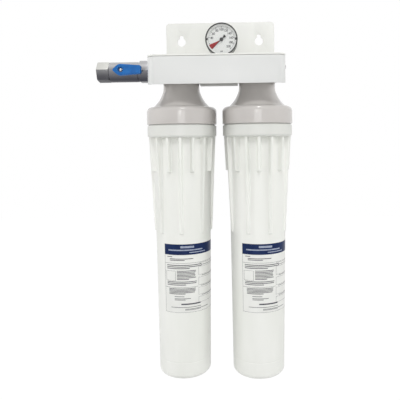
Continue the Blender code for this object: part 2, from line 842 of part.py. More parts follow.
def make_cartridge(name, side, rib_angle):
    axis = add_empty(name + "_axis", (side * half_spacing, -axis_reach, 0.0))
    bell = add_part(name + "_bell_cap", turned(bell_outline(), shell_steps),
                    "warm_grey_plastic", parent=axis)
    front = -math.pi / 2
    join(bell, turned(nose_outline(), medium_steps))
    join(bell, gathered([lug_shape(front), lug_shape(front + math.pi)]))
    sump = add_part(name + "_sump", turned(sump_outline(), shell_steps),
                    "white_plastic", parent=axis)
    ribs = []
    for index in range(rib_count):
        angle = front + rib_angle + 2 * math.pi * index / rib_count
        if index % 2:
            ribs.append(rib_shape(angle, short_rib_length, short_rib_reach))
        else:
            ribs.append(rib_shape(angle, long_rib_length, long_rib_reach))
    join(sump, gathered(ribs))

    upper_seal, lower_seal = seal_levels()
    for label, bore, level in (("upper", upper_bore_radius, upper_seal),
                               ("lower", lower_bore_radius, lower_seal)):
        ring = seal_shape(bore - clearance - seal_cord_radius, medium_steps)
        add_part(name + "_" + label + "_seal", ring, "seal_rubber", (0.0, 0.0, level),
                 parent=axis)

    block_top = sump_top - block_top_gap
    block_bottom = sump_bottom + block_foot_gap
    outline = [(block_bore_radius, block_top), (block_radius, block_top),
               (block_radius, block_bottom), (block_bore_radius, block_bottom)]
    add_part(name + "_filter_block", turned(outline, medium_steps), "carbon_black", parent=axis)

    cap_radius = block_radius + cap_overhang
    cap_low = block_top + clearance
    tube_top = lower_bore_top + 4 * seal_cord_radius
    outline = [(tube_bore_radius, tube_top), (tube_radius, tube_top),
               (tube_radius, cap_low + cap_thickness), (cap_radius, cap_low + cap_thickness),
               (cap_radius, cap_low - cap_thickness),
               (block_radius + clearance * 2, cap_low - cap_thickness),
               (block_radius + clearance * 2, cap_low), (tube_bore_radius, cap_low)]
    add_part(name + "_upper_end_cap", turned(outline, medium_steps), "cap_plastic", parent=axis)

    cap_high = block_bottom - clearance
    floor = sump_bottom + sump_wall + clearance
    outline = [(0.0, cap_high), (block_radius + clearance * 2, cap_high),
               (block_radius + clearance * 2, cap_high + cap_thickness),
               (cap_radius, cap_high + cap_thickness), (cap_radius, cap_high - cap_thickness),
               (cap_foot_radius, cap_high - cap_thickness), (cap_foot_radius, floor),
               (0.0, floor)]
    add_part(name + "_lower_end_cap", turned(outline, medium_steps), "cap_plastic", parent=axis)


# Inlet valve and outlet

def seat_outline(direction):
    # A ring that bears on the ball, with its slope along the sphere.
    reach = ball_radius + clearance * seat_gap_share
    inner = flow_radius
    middle = (inner + cavity_radius) / 2
    near = math.sqrt(reach * reach - middle * middle)
    bore_edge = math.sqrt(reach * reach - inner * inner)
    far = near + seat_depth
    outer = cavity_radius - clearance
    points = [(inner, bore_edge), (middle, near), (outer, near), (outer, far), (inner, far)]
    return [(radius, direction * height) for radius, height in points], far


def make_valve():
    centre = add_empty("valve_centre", (-ball_reach, -axis_reach, port_level))
    seat_far = seat_outline(1)[1]
    cavity_end = seat_far + clearance
    hex_end = ball_offset - clearance
    body = cylinder(barrel_radius, -barrel_inlet_length, barrel_outlet_length, housing_steps)
    body = add_part("valve_body", body, "valve_nickel", turn=along_x, parent=centre)
    flats = hexagon(valve_hex_flats, math.pi / 6)
    join(body, extruded(flats, barrel_outlet_length - overrun, hex_end))
    boss = cylinder(stem_boss_radius, 0.0, stem_boss_reach, medium_steps)
    join(body, placed(boss, turn=towards_front))
    bores = [(0.0, -barrel_inlet_length - overrun), (cavity_radius, -barrel_inlet_length - overrun),
             (cavity_radius, cavity_end), (flow_radius, cavity_end),
             (flow_radius, hex_end - nipple_socket_depth),
             (port_radius, hex_end - nipple_socket_depth), (port_radius, hex_end + overrun),
             (0.0, hex_end + overrun)]
    cut(body, turned(bores, medium_steps))
    stem_hole = cylinder(stem_radius + clearance, ball_radius, stem_boss_reach + overrun,
                         small_steps)
    cut(body, placed(stem_hole, turn=towards_front))

    inlet = -barrel_inlet_length - clearance - end_cap_length
    shoulder = -barrel_inlet_length - clearance
    spigot = cavity_radius - clearance
    outline = [(inlet_socket_radius, inlet), (end_cap_radius - end_cap_chamfer, inlet),
               (end_cap_radius, inlet + end_cap_chamfer), (end_cap_radius, shoulder),
               (spigot, shoulder), (spigot, -cavity_end), (flow_radius, -cavity_end),
               (flow_radius, inlet + inlet_socket_depth),
               (inlet_socket_radius, inlet + inlet_socket_depth)]
    add_part("valve_end_cap", turned(outline, medium_steps), "valve_nickel", turn=along_x,
             parent=centre)
    for label, direction in (("inlet", -1), ("outlet", 1)):
        outline = seat_outline(direction)[0]
        add_part("valve_" + label + "_seat", turned(outline, medium_steps), "seat_white",
                 turn=along_x, parent=centre)
    nut_bottom = stem_boss_reach + clearance
    nut = extruded(hexagon(packing_nut_flats), nut_bottom, nut_bottom + packing_nut_height)
    nut = add_part("valve_packing_nut", nut, "valve_nickel", turn=towards_front, parent=centre)
    cut(nut, cylinder(stem_radius + clearance, nut_bottom - overrun,
                      nut_bottom + packing_nut_height + overrun, small_steps))
    return centre, nut_bottom + packing_nut_height


def lever_outline():
    # Anticlockwise from the point, along the lower side to the tail and back.
    corner = lever_tail_corner
    inset = lever_tail_half_width - corner
    tail = lever_long_reach - corner
    cheeks = []
    for length_share, width_share in (lever_neck_shares, lever_cheek_shares):
        cheeks.append((-lever_point_reach * length_share, lever_half_width * width_share))
    cheeks.append((0.0, lever_half_width))
    points = [(-lever_point_reach, 0.0)] + [(x, -y) for x, y in cheeks]
    points += arc((tail, -inset), corner, -math.pi / 2, 0.0, lever_corner_steps)
    points += arc((tail, inset), corner, 0.0, math.pi / 2, lever_corner_steps)
    return points + cheeks[::-1]


def make_valve_handle(centre, nut_top):
    pivot = add_empty("valve_pivot", (0.0, 0.0, 0.0), centre)
    half_bore = math.sqrt(ball_radius * ball_radius - ball_bore_radius * ball_bore_radius)
    edge_angle = math.atan2(half_bore, ball_bore_radius)
    sphere = arc((0.0, 0.0), ball_radius, edge_angle, -edge_angle, 2 * corner_steps)
    ball = add_part("valve_ball", turned(sphere, medium_steps), "valve_nickel", turn=along_x,
                    parent=pivot)
    slot_floor = ball_radius - tang_depth - clearance
    slot = block(tang_thickness + 2 * clearance, 2 * ball_radius, slot_floor,
                 ball_radius + overrun)
    cut(ball, placed(slot, turn=towards_front))

    foot = ball_radius - tang_depth
    shoulder = ball_radius + clearance
    tip_start = nut_top + clearance
    tip_end = tip_start + stem_tip_length
    stem_points = [(0.0, shoulder), (stem_radius, shoulder), (stem_radius, tip_start),
                   (stem_tip_radius, tip_start), (stem_tip_radius, tip_end), (0.0, tip_end)]
    stem = add_part("valve_stem", turned(stem_points, small_steps), "steel",
                    turn=towards_front, parent=pivot)
    tang = block(2 * stem_radius * tang_width_share, tang_thickness, foot,
                 shoulder + clearance)
    join(stem, tang)
    screw_hole_floor = tip_end - lever_screw_length + clearance
    cut(stem, cylinder(lever_screw_radius + clearance, screw_hole_floor, tip_end + overrun,
                       tiny_steps))

    low = tip_start + clearance
    high = low + lever_thickness
    shape = extruded(lever_outline(), low, high)
    rim = []
    for edge in shape.edges:
        if min(point.co.z for point in edge.verts) > high - weld_distance:
            rim.append(edge)
    bmesh.ops.bevel(shape, geom=rim, offset=lever_edge, segments=1, affect="EDGES")
    lever = add_part("valve_lever", shape, "lever_blue", turn=towards_front, parent=pivot)
    recess_floor = high - lever_recess_depth
    bore = [(0.0, low - overrun), (stem_tip_radius + clearance, low - overrun),
            (stem_tip_radius + clearance, recess_floor), (lever_recess_radius, recess_floor),
            (lever_recess_radius, high + overrun), (0.0, high + overrun)]
    cut(lever, turned(bore, small_steps))
    screw = screw_shape(lever_screw_head_radius, lever_screw_head_height, lever_screw_radius,
                        lever_screw_length, tiny_steps)
    place = (0.0, -recess_floor - clearance, 0.0)
    add_part("lever_screw", screw, "steel", place, towards_front, pivot)


def make_pipe_ends():
    nipple_left = -cover_reach[-1] - nipple_socket_depth
    nipple_right = -(boss_end - port_depth) - clearance
    length = nipple_right - nipple_left
    outer = port_radius - clearance
    outline = [(nipple_bore_radius, 0.0), (outer, 0.0), (outer, length),
               (nipple_bore_radius, length)]
    add_part("inlet_nipple", turned(outline, medium_steps), "valve_nickel",
             (nipple_left, -axis_reach, port_level), along_x)

    spigot_start = boss_end - port_depth + clearance
    flange_start = boss_end + clearance
    end = cover_reach[1] + bushing_proud
    socket = end - bushing_socket_depth
    outline = [(bushing_bore_radius, spigot_start), (outer, spigot_start),
               (outer, flange_start), (bushing_flange_radius, flange_start),
               (bushing_flange_radius, end), (bushing_socket_radius, end),
               (bushing_socket_radius, socket), (bushing_bore_radius, socket)]
    add_part("outlet_bushing", turned(outline, medium_steps), "brass",
             (0.0, -axis_reach, port_level), along_x)


# Pressure gauge

def make_gauge():
    centre = add_empty("gauge_centre", (gauge_offset, -axis_reach, -gauge_drop))
    back = -gauge_back_depth
    front = gauge_front_depth
    inside = gauge_radius - gauge_wall
    seat = front - gauge_lip_depth
    outline = [(0.0, back), (gauge_radius - gauge_edge, back), (gauge_radius, back + gauge_edge),
               (gauge_radius, front - gauge_rim_edge), (gauge_radius - gauge_rim_edge, front),
               (gauge_lip_radius, front), (gauge_lip_radius, seat), (inside, seat),
               (inside, back + gauge_edge),
               (inside - gauge_edge + gauge_wall / 2, back + gauge_wall),
               (0.0, back + gauge_wall)]
    case = add_part("gauge_case", turned(outline, housing_steps), "gauge_black",
                    turn=towards_front, parent=centre)
    neck_hole = cylinder(gauge_neck_radius + clearance, -gauge_radius - overrun,
                         -gauge_radius * neck_hole_share, small_steps)
    cut(case, placed(neck_hole, turn=(-math.pi / 2, 0.0, 0.0)))

    lens_top = seat - clearance
    lens = [(0.0, lens_top - lens_thickness), (inside - clearance, lens_top - lens_thickness),
            (inside - clearance, lens_top), (0.0, lens_top)]
    add_part("gauge_lens", turned(lens, housing_steps), "lens_clear", turn=towards_front,
             parent=centre)
    dial_face = front - dial_depth
    dial = [(arbor_radius + clearance, dial_face - dial_thickness),
            (inside - clearance, dial_face - dial_thickness), (inside - clearance, dial_face),
            (arbor_radius + clearance, dial_face)]
    add_part("gauge_dial", turned(dial, housing_steps), "dial_white", turn=towards_front,
             parent=centre)

    case_bottom = gauge_drop + gauge_radius
    hex_top = -case_bottom - 2 * clearance
    hex_bottom = head_top + 2 * clearance
    neck_top = -case_bottom + gauge_neck_rise
    stem = extruded(hexagon(gauge_hex_flats), hex_bottom, hex_top)
    stem = add_part("gauge_stem", stem, "brass", (gauge_offset, -axis_reach, 0.0))
    thread = cylinder(gauge_stem_radius, hex_bottom - gauge_stem_length, hex_bottom + overrun,
                      medium_steps)
    neck = cylinder(gauge_neck_radius, hex_top - overrun, neck_top, small_steps)
    join(stem, gathered([thread, neck]))

    movement_low = neck_top + clearance + gauge_drop
    high = dial_face - dial_thickness - clearance
    middle = movement_low + movement_height / 2
    shape = block(movement_width, movement_height, high - movement_depth, high)
    movement = add_part("gauge_movement", placed(shape, (0.0, middle, 0.0)), "brass",
                        turn=towards_front, parent=centre, smooth=False)
    cut(movement, cylinder(arbor_radius + clearance, high - movement_depth / 2,
                           high + overrun, small_steps))

    plate_low = dial_face + pointer_gap
    plate_high = plate_low + pointer_thickness
    hub = [(0.0, high - movement_depth / 2 + clearance),
           (arbor_radius, high - movement_depth / 2 + clearance),
           (arbor_radius, plate_low - clearance), (pointer_hub_radius, plate_low - clearance),
           (pointer_hub_radius, plate_high + clearance), (0.0, plate_high + clearance)]
    pointer = add_part("gauge_pointer", turned(hub, small_steps), "gauge_black",
                       turn=towards_front, parent=centre)
    tail = pointer_tail_length
    waist = tail * pointer_waist_share
    needle = [(pointer_length, 0.0), (0.0, pointer_half_width),
              (-waist, pointer_half_width), (-tail, pointer_tail_half_width),
              (-tail, -pointer_tail_half_width), (-waist, -pointer_half_width),
              (0.0, -pointer_half_width)]
    blade = extruded(needle, plate_low, plate_high)
    join(pointer, placed(blade, turn=(0.0, 0.0, pointer_zero_angle)))


clear_scene()
make_bracket()
make_cover()
make_screws()
make_head("left_head", -1)
make_head("right_head", 1)
make_link()
make_cartridge("left", -1, left_rib_angle)
make_cartridge("right", 1, right_rib_angle)
valve_centre, packing_nut_top = make_valve()
make_valve_handle(valve_centre, packing_nut_top)
make_pipe_ends()
make_gauge()
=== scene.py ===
import bpy
import bmesh
import math
import random
from mathutils import Matrix, Vector


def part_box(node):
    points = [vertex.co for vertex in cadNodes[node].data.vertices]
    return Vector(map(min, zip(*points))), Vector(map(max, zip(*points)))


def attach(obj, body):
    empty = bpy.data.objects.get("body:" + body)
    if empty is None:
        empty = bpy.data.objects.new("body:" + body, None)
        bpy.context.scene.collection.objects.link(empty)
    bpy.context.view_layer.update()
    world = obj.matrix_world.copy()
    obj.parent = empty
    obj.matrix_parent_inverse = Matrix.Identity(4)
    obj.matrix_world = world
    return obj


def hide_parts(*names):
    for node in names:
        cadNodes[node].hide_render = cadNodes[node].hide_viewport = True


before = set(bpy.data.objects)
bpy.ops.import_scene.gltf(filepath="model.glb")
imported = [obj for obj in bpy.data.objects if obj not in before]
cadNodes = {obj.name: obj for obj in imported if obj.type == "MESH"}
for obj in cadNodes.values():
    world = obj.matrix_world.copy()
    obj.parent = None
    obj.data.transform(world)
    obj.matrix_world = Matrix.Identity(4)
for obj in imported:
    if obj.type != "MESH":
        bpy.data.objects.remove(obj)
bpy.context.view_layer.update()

# places shared by several pieces, in metres
filterX = {"left": -0.0635, "right": 0.0635}
pipeY = -0.068
portZ = -0.062
shelfTop = -0.0437
shelfUnder = -0.0462
coverTop = -0.047
coverUnder = -0.090
sumpTop = -0.1526
collarUnder = -0.1713

# values shared by the tools
axisGap = 0.0006  # a turned outline stops this far from its axis
nearby = 0.001  # how near a line an edge is picked
samePlace = 0.00001  # how near two places count as one
mergeGap = 0.000002  # points nearer than this are merged
cutLength = 0.02  # of the cutters that go right through a sheet
turns = {"Z": (0, 0, 0), "X": (0, math.pi / 2, 0), "front": (math.pi / 2, 0, 0),
         "left": (0, -math.pi / 2, 0)}


# small tools for the bench

def clearPick():
    if bpy.context.mode != "OBJECT":
        bpy.ops.object.mode_set(mode="OBJECT")
    bpy.ops.object.select_all(action="DESELECT")


def nameIt(label):
    piece = bpy.context.active_object
    piece.name = label
    piece.data.name = label
    return piece


def hold(piece):
    clearPick()
    piece.select_set(True)
    bpy.context.view_layer.objects.active = piece


def openMesh(piece, kind="FACE"):
    hold(piece)
    bpy.ops.object.mode_set(mode="EDIT")
    bpy.ops.mesh.select_mode(type=kind)


def closeMesh():
    bpy.ops.object.mode_set(mode="OBJECT")


def selectAll():
    bpy.ops.mesh.select_all(action="SELECT")


def mergePoints(gap=mergeGap):
    selectAll()
    bpy.ops.mesh.remove_doubles(threshold=gap)


def faceOutwards():
    selectAll()
    bpy.ops.mesh.normals_make_consistent(inside=False)


def sliceAt(x):
    # new edges where a plane across X meets the mesh
    selectAll()
    bpy.ops.mesh.bisect(plane_co=(x, 0, 0), plane_no=(1, 0, 0))


def pick(piece, kind, wanted):
    # selects the faces, edges or points that pass the test, in edit mode
    bpy.ops.mesh.select_mode(type=kind)
    bpy.ops.mesh.select_all(action="DESELECT")
    shape = bmesh.from_edit_mesh(piece.data)
    items = {"VERT": shape.verts, "EDGE": shape.edges, "FACE": shape.faces}[kind]
    for item in items:
        if wanted(item):
            item.select_set(True)
    shape.select_flush_mode()
    bmesh.update_edit_mesh(piece.data)


def roundEdges(piece, radius, segments, wanted):
    pick(piece, "EDGE", wanted)
    bpy.ops.mesh.bevel(offset=radius, segments=segments, affect="EDGES")


def edgeMiddle(edge):
    return (edge.verts[0].co + edge.verts[1].co) / 2


def runsAlong(edge, axis):
    way = (edge.verts[0].co - edge.verts[1].co).normalized()
    return abs(way["XYZ".index(axis)]) > 0.9


def fixPlace(piece):
    hold(piece)
    bpy.ops.object.transform_apply(location=True, rotation=True, scale=True)


def layAlong(piece, way, centre=(0, 0, 0)):
    piece.rotation_euler = turns[way]
    piece.location = centre
    fixPlace(piece)


def applyAll(piece):
    hold(piece)
    for modifier in list(piece.modifiers):
        bpy.ops.object.modifier_apply(modifier=modifier.name)


def softenEdges(piece, width, angle=40):
    bevel = piece.modifiers.new("softEdges", "BEVEL")
    bevel.width = width
    bevel.segments = 2
    bevel.limit_method = "ANGLE"
    bevel.angle_limit = math.radians(angle)
    bevel.use_clamp_overlap = True
    applyAll(piece)


def thicken(piece, thickness, side):
    sheet = piece.modifiers.new("sheet", "SOLIDIFY")
    sheet.thickness = thickness
    sheet.offset = side
    sheet.use_even_offset = True
    applyAll(piece)


def carve(piece, tool, operation="DIFFERENCE"):
    cutter = piece.modifiers.new("carve", "BOOLEAN")
    cutter.operation = operation
    cutter.solver = "EXACT"
    cutter.object = tool
    applyAll(piece)
    bpy.data.objects.remove(tool, do_unlink=True)


def block(label, size, place, turn=0.0):
    clearPick()
    bpy.ops.mesh.primitive_cube_add(size=1)
    cube = nameIt(label)
    cube.scale = size
    cube.rotation_euler = (0, 0, turn)
    cube.location = place
    fixPlace(cube)
    return cube


def roundBar(radius, length, place, way, sides=48):
    clearPick()
    bpy.ops.mesh.primitive_cylinder_add(vertices=sides, radius=radius, depth=length,
                                        location=place, rotation=turns[way])
    return bpy.context.active_object


def cutRound(piece, radius, length, place, way, sides=48):
    carve(piece, roundBar(radius, length, place, way, sides))


def joinPieces(main, others):
    hold(main)
    for other in others:
        other.select_set(True)
    bpy.ops.object.join()
    return main


def turnOnLathe(label, profile, sides, way="Z", centre=(0, 0, 0), ring=False):
    # profile is a list of (radius, height); ring=True closes it on itself
    if ring:
        profile = profile + [profile[0]]
    clearPick()
    radius, height = profile[0]
    bpy.ops.mesh.primitive_circle_add(vertices=sides, radius=radius, location=(0, 0, height))
    piece = nameIt(label)
    fixPlace(piece)
    openMesh(piece, "EDGE")
    selectAll()
    for nextRadius, nextHeight in profile[1:]:
        bpy.ops.mesh.extrude_region_move(
            TRANSFORM_OT_translate={"value": (0, 0, nextHeight - height)})
        grow = nextRadius / radius
        bpy.ops.transform.resize(value=(grow, grow, 1), center_override=(0, 0, nextHeight))
        radius, height = nextRadius, nextHeight
    mergePoints()
    if not ring:
        bpy.ops.mesh.fill_holes(sides=0)
    faceOutwards()
    closeMesh()
    layAlong(piece, way, centre)
    return piece


def finishPiece(piece, finish, body, replaced=(), smooth=30):
    # printed sheets come with no finish here and keep their inks
    fixPlace(piece)
    bpy.ops.object.shade_smooth_by_angle(angle=math.radians(smooth))
    if finish:
        piece.data.materials.clear()
        piece.data.materials.append(finish)
    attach(piece, body)
    if replaced:
        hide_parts(*replaced)


def dressPair(piece, twinLabel, finish, node=None, smooth=40, degrees=(0, 0)):
    # the left piece, and a copy with its own mesh for the right cartridge
    hold(piece)
    bpy.ops.object.duplicate(linked=False)
    twin = nameIt(twinLabel)
    for side, one, turn in (("left", piece, degrees[0]), ("right", twin, degrees[1])):
        one.rotation_euler = (0, 0, math.radians(turn))
        one.location = (filterX[side], pipeY, 0)
        finishPiece(one, finish, side + "_cartridge",
                    (side + node,) if node else (), smooth)


def around(corner, steps):
    # outline points given by their distances out and up from a corner
    return [(corner[0] + out, corner[1] + up) for out, up in steps]


def arc(centre, radius, first, last, steps):
    # outline points on a round, between two angles in degrees
    points = []
    for step in range(steps + 1):
        angle = math.radians(first + (last - first) * step / steps)
        points.append((centre[0] + radius * math.cos(angle),
                       centre[1] + radius * math.sin(angle)))
    return points


def curve(start, pull, end, steps):
    # outline points from start to end, drawn towards pull
    points = []
    for step in range(steps + 1):
        t = step / steps
        points.append(tuple(start * (1 - t) ** 2 + pull * 2 * t * (1 - t) + end * t ** 2))
    return points


def bend(points, radius, steps):
    # rounds the inner corners of an outline
    rounded = [points[0]]
    for before, corner, after in zip(points, points[1:], points[2:]):
        corner = Vector(corner)
        inward = Vector(before) - corner
        outward = Vector(after) - corner
        reach = min(radius, inward.length * 0.45, outward.length * 0.45)
        rounded += curve(corner + inward.normalized() * reach, corner,
                         corner + outward.normalized() * reach, steps)
    rounded.append(points[-1])
    return rounded


# finishes

cloudDetail = 4.0
smearDetail = 3.0
grainDetail = 2.0
smearScale = 3.1  # the gloss changes over smaller patches than the colour
grainDepth = 0.0001


def feed(tree, node, inputs):
    # each input gets a plain value, or the output of another node
    for name, value in inputs.items():
        if isinstance(value, bpy.types.NodeSocket):
            tree.links.new(value, node.inputs[name])
        else:
            node.inputs[name].default_value = value
    return node


def addNode(tree, kind, inputs, **modes):
    node = tree.nodes.new(kind)
    for name, mode in modes.items():
        setattr(node, name, mode)
    return feed(tree, node, inputs)


def newFinish(label, values):
    finish = bpy.data.materials.new(label)
    finish.use_nodes = True
    tree = finish.node_tree
    shader = feed(tree, tree.nodes["Principled BSDF"], {
        "Metallic": values.get("metal", 0.0), "Specular IOR Level": values.get("shine", 0.5),
        "Coat Weight": values.get("coat", 0.0), "Coat Roughness": values.get("coatRough", 0.1)})
    return finish, tree, shader


def noiseOn(tree, scale, detail, stretch=None):
    place = addNode(tree, "ShaderNodeTexCoord", {}).outputs["Object"]
    if stretch:
        place = addNode(tree, "ShaderNodeMapping",
                        {"Scale": stretch, "Vector": place}).outputs["Vector"]
    noise = addNode(tree, "ShaderNodeTexNoise",
                    {"Scale": scale, "Detail": detail, "Vector": place})
    return noise.outputs["Fac"]


def shadeBetween(tree, amount, stops):
    ramp = addNode(tree, "ShaderNodeValToRGB", {"Fac": amount})
    steps = ramp.color_ramp.elements
    while len(steps) < len(stops):
        steps.new(0.5)
    for step, (where, colour) in zip(steps, stops):
        step.position = where
        step.color = (*colour, 1.0)
    return ramp.outputs["Color"]


def levelBetween(tree, amount, low, high, fromLow=0.3, fromHigh=0.7):
    spread = addNode(tree, "ShaderNodeMapRange",
                     {"Value": amount, "From Min": fromLow, "From Max": fromHigh,
                      "To Min": low, "To Max": high})
    return spread.outputs["Result"]


def roughen(tree, shader, height, strength, depth):
    bump = addNode(tree, "ShaderNodeBump",
                   {"Height": height, "Strength": strength, "Distance": depth})
    feed(tree, shader, {"Normal": bump.outputs["Normal"]})


def colourOn(tree, shader, values, edges, stretch=None):
    # clouds between two tones, and painted light and shade that change with the height where
    # asked for
    cloud = noiseOn(tree, values["cloud"], cloudDetail, stretch)
    colour = shadeBetween(tree, cloud, list(zip(edges, values["tones"])))
    # where asked for, the colour is multiplied by a ramp over the height: painted light and shade
    if "paintedLight" in values:
        place = addNode(tree, "ShaderNodeTexCoord", {})
        apart = addNode(tree, "ShaderNodeSeparateXYZ", {"Vector": place.outputs["Object"]})
        upwards = levelBetween(tree, apart.outputs["Z"], 0.0, 1.0, *values["paintedLightLevels"])
        blend = addNode(tree, "ShaderNodeMix",
                        {"Factor": 1.0, "A": colour,
                         "B": shadeBetween(tree, upwards, values["paintedLight"])},
                        data_type="RGBA", blend_type="MULTIPLY")
        colour = blend.outputs["Result"]
    feed(tree, shader, {"Base Color": colour})


def mouldedFinish(label, values):
    # plastic, paint or rubber: clouded colour, uneven gloss, a fine skin, and painted shade by
    # height where asked for
    finish, tree, shader = newFinish(label, values)
    colourOn(tree, shader, values, (0.35, 0.65), values.get("stretch"))
    smear = noiseOn(tree, values["cloud"] * smearScale, smearDetail)
    feed(tree, shader, {"Roughness": levelBetween(tree, smear, *values["rough"])})
    scale, strength, depth = values["skin"]
    roughen(tree, shader, noiseOn(tree, scale, grainDetail), strength, depth)
    return finish


def platedFinish(label, values):
    # metal: brushed or cast grain with tarnish clouds, and painted reflection and highlight by
    # height where asked for
    finish, tree, shader = newFinish(label, values)
    colourOn(tree, shader, values, (0.3, 0.7))
    scale, strength = values["grain"]
    grain = noiseOn(tree, scale, grainDetail, values.get("stretch"))
    feed(tree, shader, {"Roughness": levelBetween(tree, grain, *values["rough"])})
    roughen(tree, shader, grain, strength, grainDepth)
    return finish


def clearFinish(label, values):
    # a window: clear, with a trace of smears
    finish, tree, shader = newFinish(label, values)
    smear = noiseOn(tree, values["cloud"], smearDetail)
    feed(tree, shader, {"Base Color": values["tone"], "Alpha": values["solid"],
                        "IOR": values["bending"],
                        "Roughness": levelBetween(tree, smear, *values["rough"])})
    return finish


# skin is the grain's scale, strength and depth
coat = mouldedFinish("whitePowderCoat", {
    "tones": [(0.770, 0.775, 0.738), (0.810, 0.815, 0.778)], "cloud": 14.0,
    "rough": (0.36, 0.46), "skin": (900.0, 0.25, 0.00012)})
bandPaint = mouldedFinish("whiteCoverPaint", {
    "tones": [(0.685, 0.692, 0.680), (0.718, 0.725, 0.713)], "cloud": 9.0,
    "rough": (0.30, 0.40), "skin": (1100.0, 0.15, 0.0001)})
whitePlastic = mouldedFinish("whiteSumpPlastic", {
    "tones": [(0.780, 0.790, 0.745), (0.825, 0.830, 0.795)], "cloud": 22.0,
    "stretch": (1.0, 1.0, 0.25), "rough": (0.34, 0.44), "skin": (700.0, 0.10, 0.0001),
    # the collar and the strip just under it are painted darker by this height ramp: painted shade
    "paintedLightLevels": (-0.1733, -0.1513),
    "paintedLight": [(0.0, (1.0, 1.0, 1.0)), (0.06, (0.88, 0.88, 0.88)),
             (0.35, (0.86, 0.86, 0.86)), (1.0, (0.82, 0.82, 0.82))]})
greyPlastic = mouldedFinish("warmGreyPlastic", {
    "tones": [(0.520, 0.495, 0.474), (0.560, 0.535, 0.512)], "cloud": 18.0,
    "rough": (0.30, 0.40), "skin": (500.0, 0.05, 0.0001), "shine": 0.3, "coat": 0.8,
    "coatRough": 0.06})
headGrey = mouldedFinish("headPlastic", {
    "tones": [(0.56, 0.56, 0.54), (0.63, 0.63, 0.61)], "cloud": 30.0,
    "rough": (0.42, 0.52), "skin": (800.0, 0.2, 0.0001)})
carbonBlack = mouldedFinish("carbonBlock", {
    "tones": [(0.018, 0.018, 0.018), (0.045, 0.045, 0.045)], "cloud": 260.0,
    "rough": (0.8, 0.95), "skin": (1400.0, 0.7, 0.0004)})
capWhite = mouldedFinish("endCapPlastic", {
    "tones": [(0.66, 0.66, 0.63), (0.74, 0.74, 0.71)], "cloud": 40.0,
    "rough": (0.4, 0.5), "skin": (900.0, 0.1, 0.0001)})
rubber = mouldedFinish("sealRubber", {
    "tones": [(0.012, 0.012, 0.012), (0.03, 0.03, 0.03)], "cloud": 120.0,
    "rough": (0.5, 0.65), "skin": (1500.0, 0.2, 0.0001)})
seatPlastic = mouldedFinish("seatWhite", {
    "tones": [(0.80, 0.80, 0.78), (0.87, 0.87, 0.85)], "cloud": 60.0,
    "rough": (0.35, 0.45), "skin": (900.0, 0.05, 0.0001)})
leverBlue = mouldedFinish("leverBlue", {
    "tones": [(0.006, 0.105, 0.360), (0.010, 0.140, 0.440)], "cloud": 90.0,
    "rough": (0.32, 0.44), "skin": (1300.0, 0.12, 0.0001), "shine": 0.3})
gaugeBlack = mouldedFinish("gaugeBlack", {
    "tones": [(0.022, 0.022, 0.022), (0.040, 0.041, 0.040)], "cloud": 80.0,
    "rough": (0.26, 0.38), "skin": (1200.0, 0.1, 0.0001)})
dialWhite = mouldedFinish("dialWhite", {
    "tones": [(0.93, 0.94, 0.92), (0.96, 0.97, 0.95)], "cloud": 60.0,
    "rough": (0.5, 0.6), "skin": (1800.0, 0.03, 0.0001)})
inkBlack = mouldedFinish("dialInk", {
    "tones": [(0.06, 0.06, 0.07), (0.10, 0.10, 0.11)], "cloud": 200.0,
    "rough": (0.5, 0.6), "skin": (1500.0, 0.03, 0.0001), "shine": 0.15})
inkRed = mouldedFinish("dialRed", {
    "tones": [(0.40, 0.030, 0.035), (0.50, 0.050, 0.055)], "cloud": 150.0,
    "rough": (0.5, 0.6), "skin": (1500.0, 0.03, 0.0001), "shine": 0.15})
paper = mouldedFinish("labelPaper", {
    "tones": [(0.755, 0.760, 0.730), (0.795, 0.800, 0.770)], "cloud": 50.0,
    "rough": (0.30, 0.38), "skin": (1600.0, 0.03, 0.00005)})
navy = mouldedFinish("labelNavy", {
    "tones": [(0.007, 0.018, 0.070), (0.011, 0.026, 0.092)], "cloud": 90.0,
    "rough": (0.28, 0.36), "skin": (1600.0, 0.03, 0.00005), "shine": 0.12})
headInk = mouldedFinish("labelHeadInk", {
    "tones": [(0.260, 0.300, 0.400), (0.380, 0.420, 0.520)], "cloud": 300.0,
    "rough": (0.30, 0.38), "skin": (1600.0, 0.03, 0.00005), "shine": 0.12})
greyInk = mouldedFinish("labelGrey", {
    "tones": [(0.06, 0.06, 0.07), (0.11, 0.11, 0.12)], "cloud": 300.0,
    "rough": (0.32, 0.40), "skin": (1600.0, 0.03, 0.00005), "shine": 0.12})

# grain is its scale and strength
nickelPlate = {"tones": [(0.50, 0.50, 0.51), (0.60, 0.60, 0.61)], "metal": 1.0, "cloud": 40.0,
               # the valve's colour is painted dark below its axis and near white in a band near
               # its top: painted reflection and painted highlight
               "paintedLightLevels": (-0.0750, -0.0500),
               "paintedLight": [(0.0, (0.12, 0.12, 0.14)), (0.42, (0.33, 0.33, 0.35)),
                        (0.64, (0.50, 0.50, 0.51)), (0.88, (0.98, 0.98, 0.98)),
                        (1.0, (0.85, 0.85, 0.85))],
               "grain": (260.0, 0.02), "stretch": (0.1, 1.0, 1.0), "rough": (0.24, 0.30)}
endPlate = dict(nickelPlate)
endPlate.update({"tones": [(0.62, 0.62, 0.60), (0.70, 0.70, 0.68)],
                 # the end cap is painted dark on its underside and bright on its upper flats:
                 # painted reflection and painted highlight
                 "paintedLightLevels": (-0.0785, -0.0455),
                 "paintedLight": [(0.0, (0.10, 0.10, 0.12)), (0.3, (0.16, 0.16, 0.18)),
                          (0.57, (0.34, 0.34, 0.36)), (0.61, (0.92, 0.92, 0.90)),
                          (1.0, (1.0, 1.0, 0.98))],
                 "rough": (0.38, 0.46)})
nickel = platedFinish("valveNickel", nickelPlate)
endNickel = platedFinish("endNickel", endPlate)
